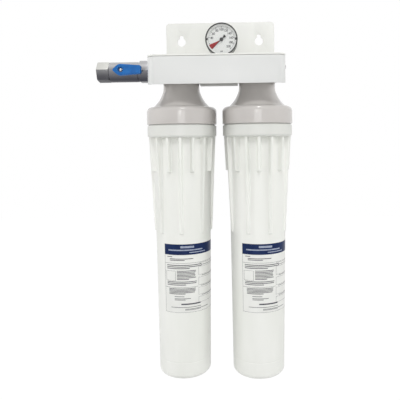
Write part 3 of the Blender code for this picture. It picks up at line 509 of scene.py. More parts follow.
brass = platedFinish("brassTurned", {
    "tones": [(0.52, 0.36, 0.15), (0.66, 0.48, 0.22)], "metal": 1.0, "cloud": 90.0,
    "grain": (600.0, 0.12), "rough": (0.24, 0.36)})
steel = platedFinish("screwSteel", {
    "tones": [(0.42, 0.42, 0.42), (0.56, 0.56, 0.56)], "metal": 1.0, "cloud": 200.0,
    "grain": (900.0, 0.12), "rough": (0.22, 0.34)})
windowClear = clearFinish("gaugeWindow", {
    "tone": (0.10, 0.11, 0.11, 1.0), "solid": 0.06, "bending": 1.45, "cloud": 80.0,
    "rough": (0.12, 0.18)})
print("finishes ready")

slotFinish = {"white_powder_coat": coat, "white_cover_paint": bandPaint,
              "white_plastic": whitePlastic, "warm_grey_plastic": greyPlastic,
              "head_plastic": headGrey, "carbon_black": carbonBlack, "cap_plastic": capWhite,
              "seal_rubber": rubber, "valve_nickel": nickel, "brass": brass, "steel": steel,
              "seat_white": seatPlastic, "lever_blue": leverBlue, "gauge_black": gaugeBlack,
              "dial_white": dialWhite, "lens_clear": windowClear}
for node in cadNodes.values():
    for holder in node.material_slots:
        plain = holder.material.name.split(".")[0] if holder.material else ""
        if plain in slotFinish:
            holder.material = slotFinish[plain]
        else:
            print("no finish for", node.name, plain)


# sumps with their ribs

sumpSizes = {"columns": 320, "ribs": 16, "bodyTop": 0.0480, "bodyMiddle": 0.0461,
             "middleZ": -0.3459, "bodyFoot": 0.0437, "footZ": -0.5649, "footRound": 0.009,
             "floorCorner": (0.0395, -0.5680), "wall": 0.0032, "neck": 0.0442,
             "neckZ": -0.1850, "rim": 0.05425, "rimTop": -0.1411, "collar": 0.0580,
             "topReach": 0.0083, "shortLength": 0.0576, "shortReach": 0.0063,
             "longLength": 0.1586, "longReach": 0.0026, "groove": 0.0032,
             "grooveShare": 0.05, "seamZ": -0.5445, "seam": 0.0002,
             "bodySlack": 0.0009, "levelSlack": 0.0001, "turn": (2.9, 23.5)}
# rings of points down the body, in distances under the collar, between the ribs' ends
ringsOverShort = [0.0024, 0.0037, 0.0062, 0.0127, 0.0237, 0.0367, 0.0487]
ringsOverLong = [0.0647, 0.0767, 0.0937, 0.1137, 0.1337, 0.1487]
ringsUnderLong = [0.1746, 0.1987, 0.2287, 0.2587, 0.2887, 0.3287, 0.3587, 0.3720, 0.3727]
seamSteps = [(0.0, 1), (0.0005, 1), (0.0010, 0), (0.0017, 0)]  # drop, and 1 where it is sunk
# corners of the collar and the ledge under it, out and up from the collar's own edges
collarTopCorners = [(-0.0020, 0.0), (-0.0020, -0.0011), (-0.0005, -0.0012),
                    (-0.0001, -0.0015), (0.0, -0.0021)]
collarFootCorners = [(0.0, 0.0012), (-0.0001, 0.0006), (-0.0005, 0.0002), (-0.0011, 0.0),
                     (-0.0017, -0.0001), (-0.0018, -0.0003), (-0.0018, -0.0014),
                     (-0.0020, -0.0016), (-0.0102, -0.0017), (-0.0112, -0.0019)]
# the foot's shallow dish, out from the axis and up from the underside
dishCorners = [(0.0250, 0.0), (0.0240, 0.0003), (0.0100, 0.0003), (0.0094, 0.0),
               (0.0040, 0.0), (axisGap, 0.0)]
# distance from a rib's middle, and how much of its height is left there
ribSection = [(0.0, 1.0), (0.0008, 1.0), (0.00135, 0.985), (0.00175, 0.90), (0.0021, 0.73),
              (0.0025, 0.47), (0.00295, 0.22), (0.0035, 0.07), (0.0044, 0.012), (0.0062, 0.0)]
# height over a rib's lower end, and how much of its height is left there
ribEnd = [(0.0029, 1.0), (0.0010, 1.0), (0.0005, 0.96), (0.0, 0.80), (-0.0004, 0.42),
          (-0.0008, 0.14), (-0.0015, 0.03), (-0.0027, 0.0)]


def grooveDepth(level):
    # a hollow right under the collar
    share = (collarUnder - level) / (collarUnder - sumpSizes["middleZ"])
    return sumpSizes["groove"] * max(0.0, 1.0 - share / sumpSizes["grooveShare"]) ** 2


def bodyRadius(level):
    # the sump narrows from the collar to the label and on to the foot
    sizes = sumpSizes
    if level > sizes["middleZ"]:
        share = (collarUnder - level) / (collarUnder - sizes["middleZ"])
        taper = sizes["bodyMiddle"] - sizes["bodyTop"]
        return sizes["bodyTop"] - grooveDepth(level) + share * taper
    share = (sizes["middleZ"] - level) / (sizes["middleZ"] - sizes["footZ"])
    return sizes["bodyMiddle"] + share * (sizes["bodyFoot"] - sizes["bodyMiddle"])


def ribHeight(level, length, reach):
    below = collarUnder - level
    full = sumpSizes["topReach"] + (reach - sumpSizes["topReach"]) * min(1.0, below / length)
    for rise, share in ribEnd:
        if length - below > rise - sumpSizes["levelSlack"]:
            return full * share
    return 0.0


def sumpProfile():
    sizes = sumpSizes
    wall, foot, under = sizes["wall"], sizes["bodyFoot"], sizes["footZ"] - sizes["footRound"]
    rim, rimTop = sizes["rim"], sizes["rimTop"]
    inside = [(axisGap, under + wall), (foot - sizes["footRound"], under + wall),
              sizes["floorCorner"], (foot - wall, sizes["footZ"]),
              (sizes["bodyMiddle"] - wall, sizes["middleZ"]), (sizes["neck"], sizes["neckZ"]),
              (sizes["neck"], collarUnder), (rim - wall, sumpTop), (rim - wall, rimTop),
              (rim, rimTop), (rim, sumpTop)]
    collar = (around((sizes["collar"], sumpTop), collarTopCorners)
              + around((sizes["collar"], collarUnder), collarFootCorners))
    depths = (ringsOverShort + [sizes["shortLength"] - rise for rise, share in ribEnd]
              + ringsOverLong + [sizes["longLength"] - rise for rise, share in ribEnd]
              + ringsUnderLong)
    body = [(bodyRadius(collarUnder - depth), collarUnder - depth) for depth in depths]
    # a fine seam goes round the sump over its foot
    for drop, sunk in seamSteps:
        level = sizes["seamZ"] - drop
        body.append((bodyRadius(level) - sunk * sizes["seam"], level))
    footCentre = (foot - sizes["footRound"], sizes["footZ"])
    return (inside + collar + body + arc(footCentre, sizes["footRound"], 0, -90, 10)
            + around((0, under), dishCorners))


def makeSump():
    sizes = sumpSizes
    columns = sizes["columns"]
    perRib = columns // sizes["ribs"]
    piece = turnOnLathe("leftSump", sumpProfile(), columns)
    start = math.radians(-90)
    sector = 2 * math.pi / sizes["ribs"]
    offsets = [along for along, share in ribSection] + [0.5 * sector * sizes["bodyTop"]]
    shares = [share for along, share in ribSection] + [0.0]
    # the turned body's points are drawn together round each rib, then out onto it
    for point in piece.data.vertices:
        radius = math.hypot(point.co.x, point.co.y)
        if radius < 2 * axisGap:
            continue
        column = round(math.atan2(point.co.y, point.co.x) / (2 * math.pi / columns)) % columns
        rib, place = divmod(column, perRib)
        place -= perRib // 2
        away = math.copysign(offsets[abs(place)] / sizes["bodyTop"], place) if place else 0.0
        angle = start + rib * sector + away
        level = point.co.z
        onBody = abs(radius - bodyRadius(level)) < sizes["bodySlack"]
        if onBody and sizes["middleZ"] < level < collarUnder - sizes["levelSlack"] / 2:
            kind = ("long", "short")[rib % 2]
            height = ribHeight(level, sizes[kind + "Length"], sizes[kind + "Reach"])
            radius += (height + grooveDepth(level)) * shares[abs(place)]
        point.co.x = radius * math.cos(angle)
        point.co.y = radius * math.sin(angle)
    return piece


dressPair(makeSump(), "rightSump", whitePlastic, "_sump", 40,
          sumpSizes["turn"])
print("sumps turned and ribbed")


# bell caps: the outline goes from the skirt's inner edge down, out and up to the stepped nose

bellSizes = {"sides": 144, "shoulder": (0.05095, -0.1307), "shoulderRound": 0.0078,
             "slopeStart": (0.0472, -0.1221), "slopePull": (0.0355, -0.1118),
             "slopeEnd": (0.0310, -0.0970), "slopeSteps": 15, "lugReach": 0.0269,
             "lugInner": 0.0225, "lugLow": -0.0783, "lugHigh": -0.0751, "lugTurn": 36,
             "lugClimb": 0.0012, "lugSteps": 9, "lugEdge": 0.0003}
bellSkirt = [(0.05455, -0.1318), (0.05455, -0.1520), (0.0576, -0.1520), (0.0582, -0.1518),
             (0.0586, -0.1514), (0.05875, -0.1508), (0.05875, -0.1314)]
bellStep = [(0.0505, -0.1229), (0.0488, -0.12285), (0.0479, -0.1226),
            bellSizes["slopeStart"]]
bellNeck = [(0.0308, -0.0965), (0.0301, -0.0905), (0.0300, -0.0845), (0.0297, -0.0838),
            (0.0292, -0.0836), (0.0240, -0.0836), (0.0240, -0.0751), (0.0235, -0.0749),
            (0.0140, -0.0749)]
bellNose = [(0.01355, -0.0745), (0.01355, -0.0739), (0.0116, -0.0738), (0.0116, -0.0715),
            (0.01355, -0.0714), (0.01355, -0.0600), (0.0131, -0.0595), (0.00805, -0.0595),
            (0.00805, -0.0578), (0.0061, -0.0577), (0.0061, -0.0553), (0.00805, -0.0552),
            (0.00805, -0.0550), (0.0076, -0.0547), (0.0049, -0.0547), (0.0049, -0.0616),
            (0.0080, -0.0616), (0.0080, -0.0878), (0.0258, -0.0880), (0.0258, -0.1104),
            (0.0430, -0.1267)]


def makeLug(angle):
    # a bar that climbs as it goes round, like a short thread
    sizes = bellSizes
    clearPick()
    bpy.ops.mesh.primitive_plane_add(size=1, location=(0, 0, 0), rotation=(math.pi / 2, 0, 0))
    lug = nameIt("lug")
    lug.scale = (sizes["lugReach"] - sizes["lugInner"], sizes["lugHigh"] - sizes["lugLow"], 1)
    lug.location = ((sizes["lugReach"] + sizes["lugInner"]) / 2, 0,
                    (sizes["lugHigh"] + sizes["lugLow"] - sizes["lugClimb"]) / 2)
    fixPlace(lug)
    openMesh(lug)
    selectAll()
    bpy.ops.mesh.spin(steps=sizes["lugSteps"], angle=math.radians(sizes["lugTurn"]),
                      center=(0, 0, 0), axis=(0, 0, -1))
    mergePoints()
    closeMesh()
    for point in lug.data.vertices:
        share = math.atan2(point.co.y, point.co.x) / math.radians(sizes["lugTurn"])
        point.co.z += sizes["lugClimb"] * share
    openMesh(lug)
    selectAll()
    bpy.ops.mesh.fill_holes(sides=0)
    faceOutwards()
    closeMesh()
    lug.rotation_euler = (0, 0, math.radians(angle - sizes["lugTurn"] / 2))
    fixPlace(lug)
    softenEdges(lug, sizes["lugEdge"])
    return lug


def makeBell():
    sizes = bellSizes
    slope = curve(Vector(sizes["slopeStart"]), Vector(sizes["slopePull"]),
                  Vector(sizes["slopeEnd"]), sizes["slopeSteps"])
    shoulder = arc(sizes["shoulder"], sizes["shoulderRound"], 9, 81, 8)
    profile = bellSkirt + shoulder + bellStep + slope[1:-1] + bellNeck + bellNose
    piece = turnOnLathe("leftBell", profile, sizes["sides"], ring=True)
    return joinPieces(piece, [makeLug(-90), makeLug(90)])


dressPair(makeBell(), "rightBell", greyPlastic, "_bell_cap", 28)
print("bell caps turned")


# labels: paper, navy head, rules and plain grey bars where print would be, and empty boxes

labelSizes = {"top": -0.346, "bottom": -0.460, "start": -40, "end": 112, "turn": 3.5,
              "headInset": 0.6, "headTop": 0.0006, "headBottom": 0.0180, "frameInset": 0.5,
              "frameGap": 0.0005, "ruleWidth": 0.0004, "edgeWidth": 0.0003, "edgeTurn": 0.45,
              "ragged": 2.5, "shortRow": 0.35, "stepTurn": 4, "lowPatch": 0.02}
# how far each layer stands off the sump
labelLift = {"paper": 0.00010, "ink": 0.00016, "edge": 0.00018, "headInk": 0.00020}
labelRules = [(-39, 110, 0.0315), (-39, 34, 0.0715), (34, 110, 0.0330)]
# bars stand in for print: first angle, last angle, first level, last level, rows, thickness share
labelBars = [(-33, -20, 0.0205, 0.0225, 1, 0.52), (-27, 24, 0.0240, 0.0285, 2, 0.52),
             (-34, 44, 0.0345, 0.0425, 3, 0.46), (-12, 28, 0.0440, 0.0600, 7, 0.48),
             (-34, 30, 0.0620, 0.0695, 3, 0.46), (-30, 27, 0.0735, 0.0840, 5, 0.50),
             (-18, 3, 0.0865, 0.0880, 1, 0.6), (-18, 18, 0.0900, 0.0940, 2, 0.46),
             (-4, 40, 0.0985, 0.1025, 1, 0.55), (-26, 40, 0.1045, 0.1060, 1, 0.5),
             (4, 62, 0.1075, 0.1105, 2, 0.48), (40, 96, 0.0362, 0.0376, 1, 0.5),
             (42, 98, 0.0541, 0.0556, 1, 0.5), (40, 94, 0.0712, 0.0727, 1, 0.5),
             (42, 99, 0.0870, 0.0885, 1, 0.5)]
labelBoxes = [(34, 108, 0.0390, 0.0530), (34, 108, 0.0570, 0.0700), (34, 108, 0.0740, 0.0860),
              (34, 108, 0.0895, 0.0990), (-36, -15, 0.0445, 0.0605)]
headBars = [(-4, 24, 0.0035, 0.0068), (-30, 44, 0.0092, 0.0112), (14, 52, 0.0135, 0.0150)]


def wrapPatch(label, start, end, top, bottom, lift, finish):
    # a flat grid laid round the sump; angles from the front towards the right
    clearPick()
    across = max(2, int((end - start) / labelSizes["stepTurn"]))
    down = 2 if bottom - top < labelSizes["lowPatch"] else 8
    bpy.ops.mesh.primitive_grid_add(x_subdivisions=across, y_subdivisions=down, size=1,
                                    location=(0, 0, 0))
    patch = nameIt(label)
    for point in patch.data.vertices:
        along = start + labelSizes["turn"] + (point.co.x + 0.5) * (end - start)
        angle = math.radians(along - 90)
        level = labelSizes["top"] - bottom + (point.co.y + 0.5) * (bottom - top)
        radius = bodyRadius(level) + labelLift[lift]
        point.co = (radius * math.cos(angle), radius * math.sin(angle), level)
    patch.data.materials.append(finish)
    return patch


def frameBox(first, last, top, bottom):
    # the four thin edges of an empty box
    width, turn = labelSizes["edgeWidth"], labelSizes["edgeTurn"]
    sides = [(first, last, top, top + width), (first, last, bottom - width, bottom),
             (first, first + turn, top, bottom), (last - turn, last, top, bottom)]
    return [wrapPatch("edge", *side, "edge", greyInk) for side in sides]


def makeLabel():
    sizes = labelSizes
    seeded = random.Random(5)
    length = sizes["top"] - sizes["bottom"]
    start, end = sizes["start"], sizes["end"]
    sheet = wrapPatch("leftLabel", start, end, 0, length, "paper", paper)
    others = [wrapPatch("head", start + sizes["headInset"], end - sizes["headInset"],
                        sizes["headTop"], sizes["headBottom"], "ink", navy)]
    for bar in headBars:
        others.append(wrapPatch("headBar", *bar, "headInk", headInk))
    for first, last, level in labelRules:
        others.append(wrapPatch("rule", first, last, level, level + sizes["ruleWidth"], "ink",
                                greyInk))
    for first, last, top, bottom, rows, share in labelBars:
        step = (bottom - top) / rows
        for row in range(rows):
            # the last row of a block is shorter, and each row's end is a little ragged
            cut = sizes["shortRow"] if row and row == rows - 1 else 0.0
            reach = last - (last - first) * cut - seeded.uniform(0.0, sizes["ragged"])
            others.append(wrapPatch("bar", first, reach, top + row * step,
                                    top + row * step + step * share, "ink", greyInk))
    inset, gap = sizes["frameInset"], sizes["frameGap"]
    for box in labelBoxes + [(start + inset, end - inset, gap, length - gap)]:
        others += frameBox(*box)
    return joinPieces(sheet, others)


dressPair(makeLabel(), "rightLabel", None)
print("labels laid on")


# cover band

coverSizes = {"left": -0.1115, "right": 0.1068, "flank": -0.1285, "rear": -0.003,
              "bow": 0.0015, "strips": 12, "corner": 0.015, "sheet": 0.0015, "edge": 0.00035,
              "portHole": 0.0135, "screwHole": 0.0023, "screwPitch": 0.064,
              "slopeStart": -0.1225, "slopeEnd": -0.003, "slopeRise": 0.0165}
wasteSizes = {"half": 0.15, "low": -0.12, "rear": 0.005}


def bowFront(piece):
    # cuts the straight front into strips and pushes them out along a shallow curve
    sizes = coverSizes
    left, right = sizes["left"] + sizes["corner"], sizes["right"] - sizes["corner"]
    for step in range(1, sizes["strips"]):
        x = left + (right - left) * step / sizes["strips"]
        sliceAt(x)
        pick(piece, "VERT", lambda point: abs(point.co.x - x) < samePlace
             and abs(point.co.y - sizes["flank"]) < samePlace)
        share = 2 * step / sizes["strips"] - 1
        bpy.ops.transform.translate(value=(0, -sizes["bow"] * (1 - share * share), 0))


def cutSlope(piece, lift):
    # takes away what lies below a line that climbs towards the wall
    front, rear, low = coverSizes["slopeStart"], wasteSizes["rear"], wasteSizes["low"]
    climb = coverSizes["slopeRise"] / (coverSizes["slopeEnd"] - front)
    corners = [(front, low), (rear, low), (rear, coverUnder + lift + climb * (rear - front)),
               (front, coverUnder + lift)]
    clearPick()
    bpy.ops.mesh.primitive_circle_add(vertices=4, radius=1, fill_type="NGON")
    waste = bpy.context.active_object
    for point, (y, z) in zip(waste.data.vertices, corners):
        point.co = (-wasteSizes["half"], y, z)
    openMesh(waste)
    selectAll()
    bpy.ops.mesh.extrude_region_move(
        TRANSFORM_OT_translate={"value": (2 * wasteSizes["half"], 0, 0)})
    faceOutwards()
    closeMesh()
    carve(piece, waste)


def makeCover():
    sizes = coverSizes
    deep = sizes["rear"] - sizes["flank"]
    cover = block("coverBand", (sizes["right"] - sizes["left"], deep, coverTop - coverUnder),
                  ((sizes["right"] + sizes["left"]) / 2, sizes["flank"] + deep / 2,
                   (coverTop + coverUnder) / 2))
    openMesh(cover)
    pick(cover, "FACE", lambda face: abs(face.normal.z) > 0.9 or face.normal.y > 0.9)
    bpy.ops.mesh.delete(type="FACE")
    roundEdges(cover, sizes["corner"], 14, lambda edge: runsAlong(edge, "Z")
               and edgeMiddle(edge).y < sizes["flank"] + nearby)
    bowFront(cover)
    closeMesh()
    thicken(cover, sizes["sheet"], -1)
    for x in (sizes["left"], sizes["right"]):
        cutRound(cover, sizes["portHole"], cutLength / 2, (x, pipeY, portZ), "X", 64)
        for shift in (-0.5, 0.5):
            cutRound(cover, sizes["screwHole"], cutLength / 2,
                     (x, pipeY + shift * sizes["screwPitch"], portZ), "X", 24)
    cutSlope(cover, 0)
    softenEdges(cover, sizes["edge"])
    finishPiece(cover, bandPaint, "manifold", ("front_cover",))


makeCover()
print("cover band bent")


# mounting bracket

bracketSizes = {"sheet": 0.0025, "bend": 0.0055, "plateHalf": 0.0977, "plateTop": 0.034,
                "plateCorner": 0.0065, "keyholeX": 0.070, "keyholeRadius": 0.0074,
                "slotHalf": 0.0035, "slotRise": 0.012, "slotRoundShare": 0.85,
                "shelfRoundShare": 0.93, "earFront": -0.112, "earRear": -0.024,
                "earLow": -0.0842, "earCorner": 0.006, "earHole": 0.0150, "earInset": 0.0030,
                "earOverlap": 0.0012, "earLift": 0.002, "earEdge": 0.0003, "gaugeX": 0.0053,
                "gaugeHole": 0.0093, "edge": 0.0004, "mergeGap": 0.000005}


def cutKeyhole(piece, x):
    sizes = bracketSizes
    cutRound(piece, sizes["keyholeRadius"], cutLength, (x, 0, 0), "front")
    slot = block("slot", (2 * sizes["slotHalf"], cutLength, sizes["slotRise"]),
                 (x, 0, sizes["slotRise"] / 2))
    openMesh(slot)
    roundEdges(slot, sizes["slotHalf"] * sizes["slotRoundShare"], 8,
               lambda edge: runsAlong(edge, "Y")
               and edgeMiddle(edge).z > sizes["slotRise"] - nearby)
    closeMesh()
    carve(piece, slot)


def makeEar(x):
    sizes = bracketSizes
    front, rear, low = sizes["earFront"], sizes["earRear"], sizes["earLow"]
    high = shelfUnder + sizes["earOverlap"]
    ear = block("ear", (sizes["sheet"], rear - front, high - low),
                (x, (rear + front) / 2, (high + low) / 2))
    openMesh(ear)
    roundEdges(ear, sizes["earCorner"], 8, lambda edge: runsAlong(edge, "X")
               and edgeMiddle(edge).z < low + nearby)
    closeMesh()
    cutRound(ear, sizes["earHole"], cutLength, (x, pipeY, portZ), "X", 64)
    cutSlope(ear, sizes["earLift"])
    softenEdges(ear, sizes["earEdge"])
    return ear


def makeBracket():
    sizes = bracketSizes
    left, right, flank = coverSizes["left"], coverSizes["right"], coverSizes["flank"]
    rear, half, top = -sizes["bend"], sizes["plateHalf"], sizes["plateTop"]
    clearPick()
    bpy.ops.mesh.primitive_plane_add(size=1)
    bracket = nameIt("bracketSheet")
    bracket.scale = (right - left, rear - flank, 1)
    bracket.location = ((left + right) / 2, (rear + flank) / 2, shelfUnder)
    fixPlace(bracket)
    openMesh(bracket)
    pick(bracket, "VERT", lambda point: point.co.y < flank + nearby)
    bpy.ops.mesh.bevel(offset=coverSizes["corner"] * sizes["shelfRoundShare"], segments=12,
                       affect="VERTICES", profile=0.5)
    bowFront(bracket)
    for x in (-half, half):
        sliceAt(x)
    # the back edge is bent up into the plate
    pick(bracket, "EDGE", lambda edge: edgeMiddle(edge).y > rear - samePlace
         and abs(edgeMiddle(edge).x) < half)
    bpy.ops.mesh.spin(steps=10, angle=math.pi / 2, center=(0, rear, shelfUnder + sizes["bend"]),
                      axis=(-1, 0, 0))
    bpy.ops.mesh.extrude_region_move(
        TRANSFORM_OT_translate={"value": (0, 0, top - shelfUnder - sizes["bend"])})
    mergePoints(sizes["mergeGap"])
    faceOutwards()
    closeMesh()
    facing = sum(face.normal.z * face.area for face in bracket.data.polygons)
    thicken(bracket, sizes["sheet"], 1 if facing > 0 else -1)
    openMesh(bracket)
    roundEdges(bracket, sizes["plateCorner"], 8, lambda edge: runsAlong(edge, "Y")
               and edgeMiddle(edge).z > top - nearby
               and abs(edgeMiddle(edge).x) > half - nearby)
    closeMesh()
    for x in (-sizes["keyholeX"], sizes["keyholeX"]):
        cutKeyhole(bracket, x)
    cutRound(bracket, sizes["gaugeHole"], cutLength, (sizes["gaugeX"], pipeY, shelfTop), "Z")
    softenEdges(bracket, sizes["edge"])
    joinPieces(bracket, [makeEar(left + sizes["earInset"]), makeEar(right - sizes["earInset"])])
    finishPiece(bracket, coat, "manifold", ("mounting_bracket",))


makeBracket()
print("bracket bent and cut")


# inlet valve

valveSizes = {"ballX": -0.1594, "radius": 0.01675, "start": -0.1834, "hexStart": -0.1323,
              "hexEnd": -0.1118, "flats": 0.0344, "hexChamfer": 0.0022, "hexEdge": 0.00025,
              "inner": 0.0122, "bore": 0.0075, "seatEnd": 0.0180, "chamfer": 0.0008,
              "neck": 0.0007, "neckStart": 0.0030, "neckEnd": 0.0022, "overlap": 0.0005,
              "edge": 0.0003, "bossRadius": 0.0085, "bossFront": -0.087, "bossDepth": 0.0068,
              "stemHole": 0.0043, "stemHoleDepth": 0.012, "capFlats": 0.0302,
              "capEnd": -0.2037, "capTurn": -10.0, "capChamfer": 0.0012, "capGap": 0.0003,
              "spigotRadius": 0.0120, "spigotReach": 0.0120, "spigotLap": 0.0004}
# a thread is its radius, depth, first and last height, and pitch
capSocket = {"mouth": 0.0114, "mouthEnd": 0.0108, "overrun": 0.001,
             "thread": (0.0104, 0.0006, 0.0004, 0.0132, 0.00181),
             "runout": [(0.0103, 0.0138), (0.0075, 0.0140)]}


# a tooth's corners, in shares of the pitch and of the depth
toothShares = [(0.1, 0), (0.45, 1), (0.6, 1), (0.95, 0)]
hexSizes = {"overrun": 0.0001, "clear": 0.0002, "slopeShare": 0.55}


def threadedWall(radius, depth, start, end, pitch):
    # a saw-tooth wall, for the inside of a threaded socket
    wall = []
    height = start
    while height < end - pitch:
        wall += [(radius - depth * deep, height + pitch * rise) for rise, deep in toothShares]
        height += pitch
    return wall


def makeHex(label, flats, low, high, chamfer, centre, turn=0.0):
    # a six-sided bar whose corners are turned off at both ends, as on a nut
    corner = flats / math.sqrt(3)
    roundBar(corner, high - low, (0, 0, (high + low) / 2), "Z", 6)
    bar = nameIt(label)
    bar.rotation_euler = (0, 0, math.radians(turn))
    fixPlace(bar)
    past, wide = hexSizes["overrun"], corner + hexSizes["clear"]
    drop, narrow = chamfer * hexSizes["slopeShare"], corner - chamfer
    carve(bar, turnOnLathe("blank", [(narrow, low - past), (wide, low + drop),
                                     (wide, high - drop), (narrow, high + past)], 72),
          "INTERSECT")
    layAlong(bar, "X", centre)
    return bar


def makeValveBody():
    sizes = valveSizes
    start, end = sizes["start"] - sizes["ballX"], sizes["hexStart"] - sizes["ballX"]
    big, inner, bore = sizes["radius"], sizes["inner"], sizes["bore"]
    chamfer, small, lap = sizes["chamfer"], sizes["radius"] - sizes["neck"], sizes["overlap"]
    profile = [(inner, start), (big - chamfer, start), (big, start + chamfer),
               (big, end - sizes["neckStart"]), (small, end - sizes["neckEnd"]),
               (small, end + lap), (bore, end + lap), (bore, sizes["seatEnd"]),
               (inner, sizes["seatEnd"])]
    centre = (sizes["ballX"], pipeY, portZ)
    body = turnOnLathe("valveBarrel", profile, 96, "X", centre, True)
    boss = roundBar(sizes["bossRadius"], sizes["bossDepth"],
                    (sizes["ballX"], sizes["bossFront"] + sizes["bossDepth"] / 2, portZ),
                    "front", 64)
    carve(body, boss, "UNION")
    cutRound(body, sizes["stemHole"], sizes["stemHoleDepth"],
             (sizes["ballX"], sizes["bossFront"], portZ), "front", 32)
    softenEdges(body, sizes["edge"], 35)
    hexBar = makeHex("valveHex", sizes["flats"], end, sizes["hexEnd"] - sizes["ballX"],
                     sizes["hexChamfer"], centre)
    softenEdges(hexBar, sizes["hexEdge"], 20)
    joinPieces(body, [hexBar])
    finishPiece(body, nickel, "manifold", ("valve_body",))


def makeEndCap():
    sizes, socket = valveSizes, capSocket
    length = sizes["start"] - sizes["capGap"] - sizes["capEnd"]
    place = (sizes["capEnd"], pipeY, portZ)
    cap = makeHex("valveEnd", sizes["capFlats"], 0.0, length, sizes["capChamfer"], place,
                  sizes["capTurn"])
    past = socket["overrun"]
    hollow = [(axisGap / 2, -past), (socket["mouth"], -past), (socket["mouthEnd"], 0.0)]
    hollow += threadedWall(*socket["thread"]) + socket["runout"]
    hollow += [(sizes["bore"], length + past), (axisGap / 2, length + past)]
    carve(cap, turnOnLathe("hollow", hollow, 72, "X", place, True))
    softenEdges(cap, sizes["hexEdge"])
    low, high = length - sizes["spigotLap"], length + sizes["spigotReach"]
    wide, bore = sizes["spigotRadius"], sizes["bore"]
    spigot = turnOnLathe("spigot", [(wide, low), (wide, high), (bore, high), (bore, low)],
                         72, "X", place, True)
    joinPieces(cap, [spigot])
    finishPiece(cap, endNickel, "manifold", ("valve_end_cap",))


makeValveBody()
makeEndCap()
print("valve turned")


# lever and its screw

leverSizes = {"point": -0.0132, "tail": 0.0337, "half": 0.0095, "low": -0.0919,
              "high": -0.0999, "recess": 0.0044, "recessDeep": 0.0032, "screwHole": 0.0033,
              "tailRound": 0.0028, "rimRound": 0.0016, "edge": 0.0003, "slack": 0.0001,
              "screwSunk": 0.0003}
# distance from the ball's axis, and how much of the lever's width is there
leverColumns = [(-0.0118, 0.22), (-0.0104, 0.37), (-0.0075, 0.66), (-0.0040, 0.90),
                (-0.0015, 0.985), (0.0, 1.0), (0.0020, 0.985), (0.0060, 0.945), (0.0180, 0.84)]
leverEnds = [(leverSizes["point"], 0.03), (leverSizes["tail"], 0.72)]
# head's radius and height, shank's radius and length
screwSizes = {"lever": (0.0026, 0.0018, 0.0015, 0.0048),
              "cover": (0.0039, 0.0020, 0.0019, 0.0073),
              "head": (0.0039, 0.0020, 0.0019, 0.0105)}
# shares of the shank's radius, the head's radius and the head's height
screwShares = {"point": 0.8, "pointRise": 0.3, "rim": 0.97, "rimRise": 0.15, "dome": 0.35,
               "cross": (1.15, 0.24, 0.9), "crossRise": 0.80, "crossTurns": (20, 110)}


def makeLever():
    sizes = leverSizes
    tail, tip, thick = sizes["tail"], sizes["point"], sizes["low"] - sizes["high"]
    lever = block("blueLever", (tail - tip, 2 * sizes["half"], thick),
                  ((tail + tip) / 2, 0, thick / 2))
    openMesh(lever)
    for x, share in leverColumns:
        sliceAt(x)
    for x, share in leverColumns + leverEnds:
        pick(lever, "VERT", lambda point: abs(point.co.x - x) < samePlace)
        bpy.ops.transform.resize(value=(1, share, 1), center_override=(x, 0, 0))
    roundEdges(lever, sizes["tailRound"], 6, lambda edge: runsAlong(edge, "Z")
               and edgeMiddle(edge).x > tail - sizes["slack"])
    # the upper rim is rounded over more than the lower one
    roundEdges(lever, sizes["rimRound"], 4,
               lambda edge: edgeMiddle(edge).z > thick - sizes["slack"]
               and len(edge.link_faces) == 2 and edge.calc_face_angle(0) > 0.8)
    closeMesh()
    cutRound(lever, sizes["recess"], cutLength / 2,
             (0, 0, thick - sizes["recessDeep"] + cutLength / 4), "Z")
    cutRound(lever, sizes["screwHole"], cutLength, (0, 0, 0), "Z", 32)
    softenEdges(lever, sizes["edge"], 35)
    layAlong(lever, "front", (valveSizes["ballX"], sizes["low"], portZ))
    finishPiece(lever, leverBlue, "valve_handle", ("valve_lever",), 35)


def makeScrew(label, node, kind, way, place, body="manifold"):
    # a domed head with a cross recess
    radius, height, shank, length = screwSizes[kind]
    shares, axis = screwShares, axisGap / 2
    profile = [(axis, -length), (shank * shares["point"], -length),
               (shank, -length + shank * shares["pointRise"]), (shank, 0.0),
               (radius * shares["rim"], 0.0), (radius, height * shares["rimRise"])]
    profile += [(max(axis, radius * out), height * (shares["dome"] + (1 - shares["dome"]) * up))
                for out, up in arc((0, 0), 1, 0, 90, 5)]
    screw = turnOnLathe(label, profile, 32)
    long, wide, deep = shares["cross"]
    for degrees in shares["crossTurns"]:
        carve(screw, block("slot", (radius * long, radius * wide, height * deep),
                           (0, 0, height * shares["crossRise"]), math.radians(degrees)))
    layAlong(screw, way, place)
    finishPiece(screw, steel, body, (node,))


def boxOf(node):
    lower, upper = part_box(node)
    return lower, (lower + upper) / 2, upper


def makeScrews():
    lower, middle, upper = boxOf("lever_screw")
    seat = leverSizes["high"] + leverSizes["recessDeep"] - leverSizes["screwSunk"]
    makeScrew("leverScrew", "lever_screw", "lever", "front", (middle.x, seat, middle.z),
              "valve_handle")
    for number in range(1, 5):
        node = "cover_screw_" + str(number)
        lower, middle, upper = boxOf(node)
        height = screwSizes["cover"][1]
        way, x = ("left", lower.x + height) if middle.x < 0 else ("X", upper.x - height)
        makeScrew("coverScrew" + str(number), node, "cover", way, (x, middle.y, middle.z))
    for side in ("left", "right"):
        for number in range(1, 5):
            node = side + "_head_screw_" + str(number)
            lower, middle, upper = boxOf(node)
            makeScrew(side + "HeadScrew" + str(number), node, "head", "Z",
                      (middle.x, middle.y, upper.z - screwSizes["head"][1]))


makeLever()
makeScrews()
print("lever and screws made")


# outlet bushing

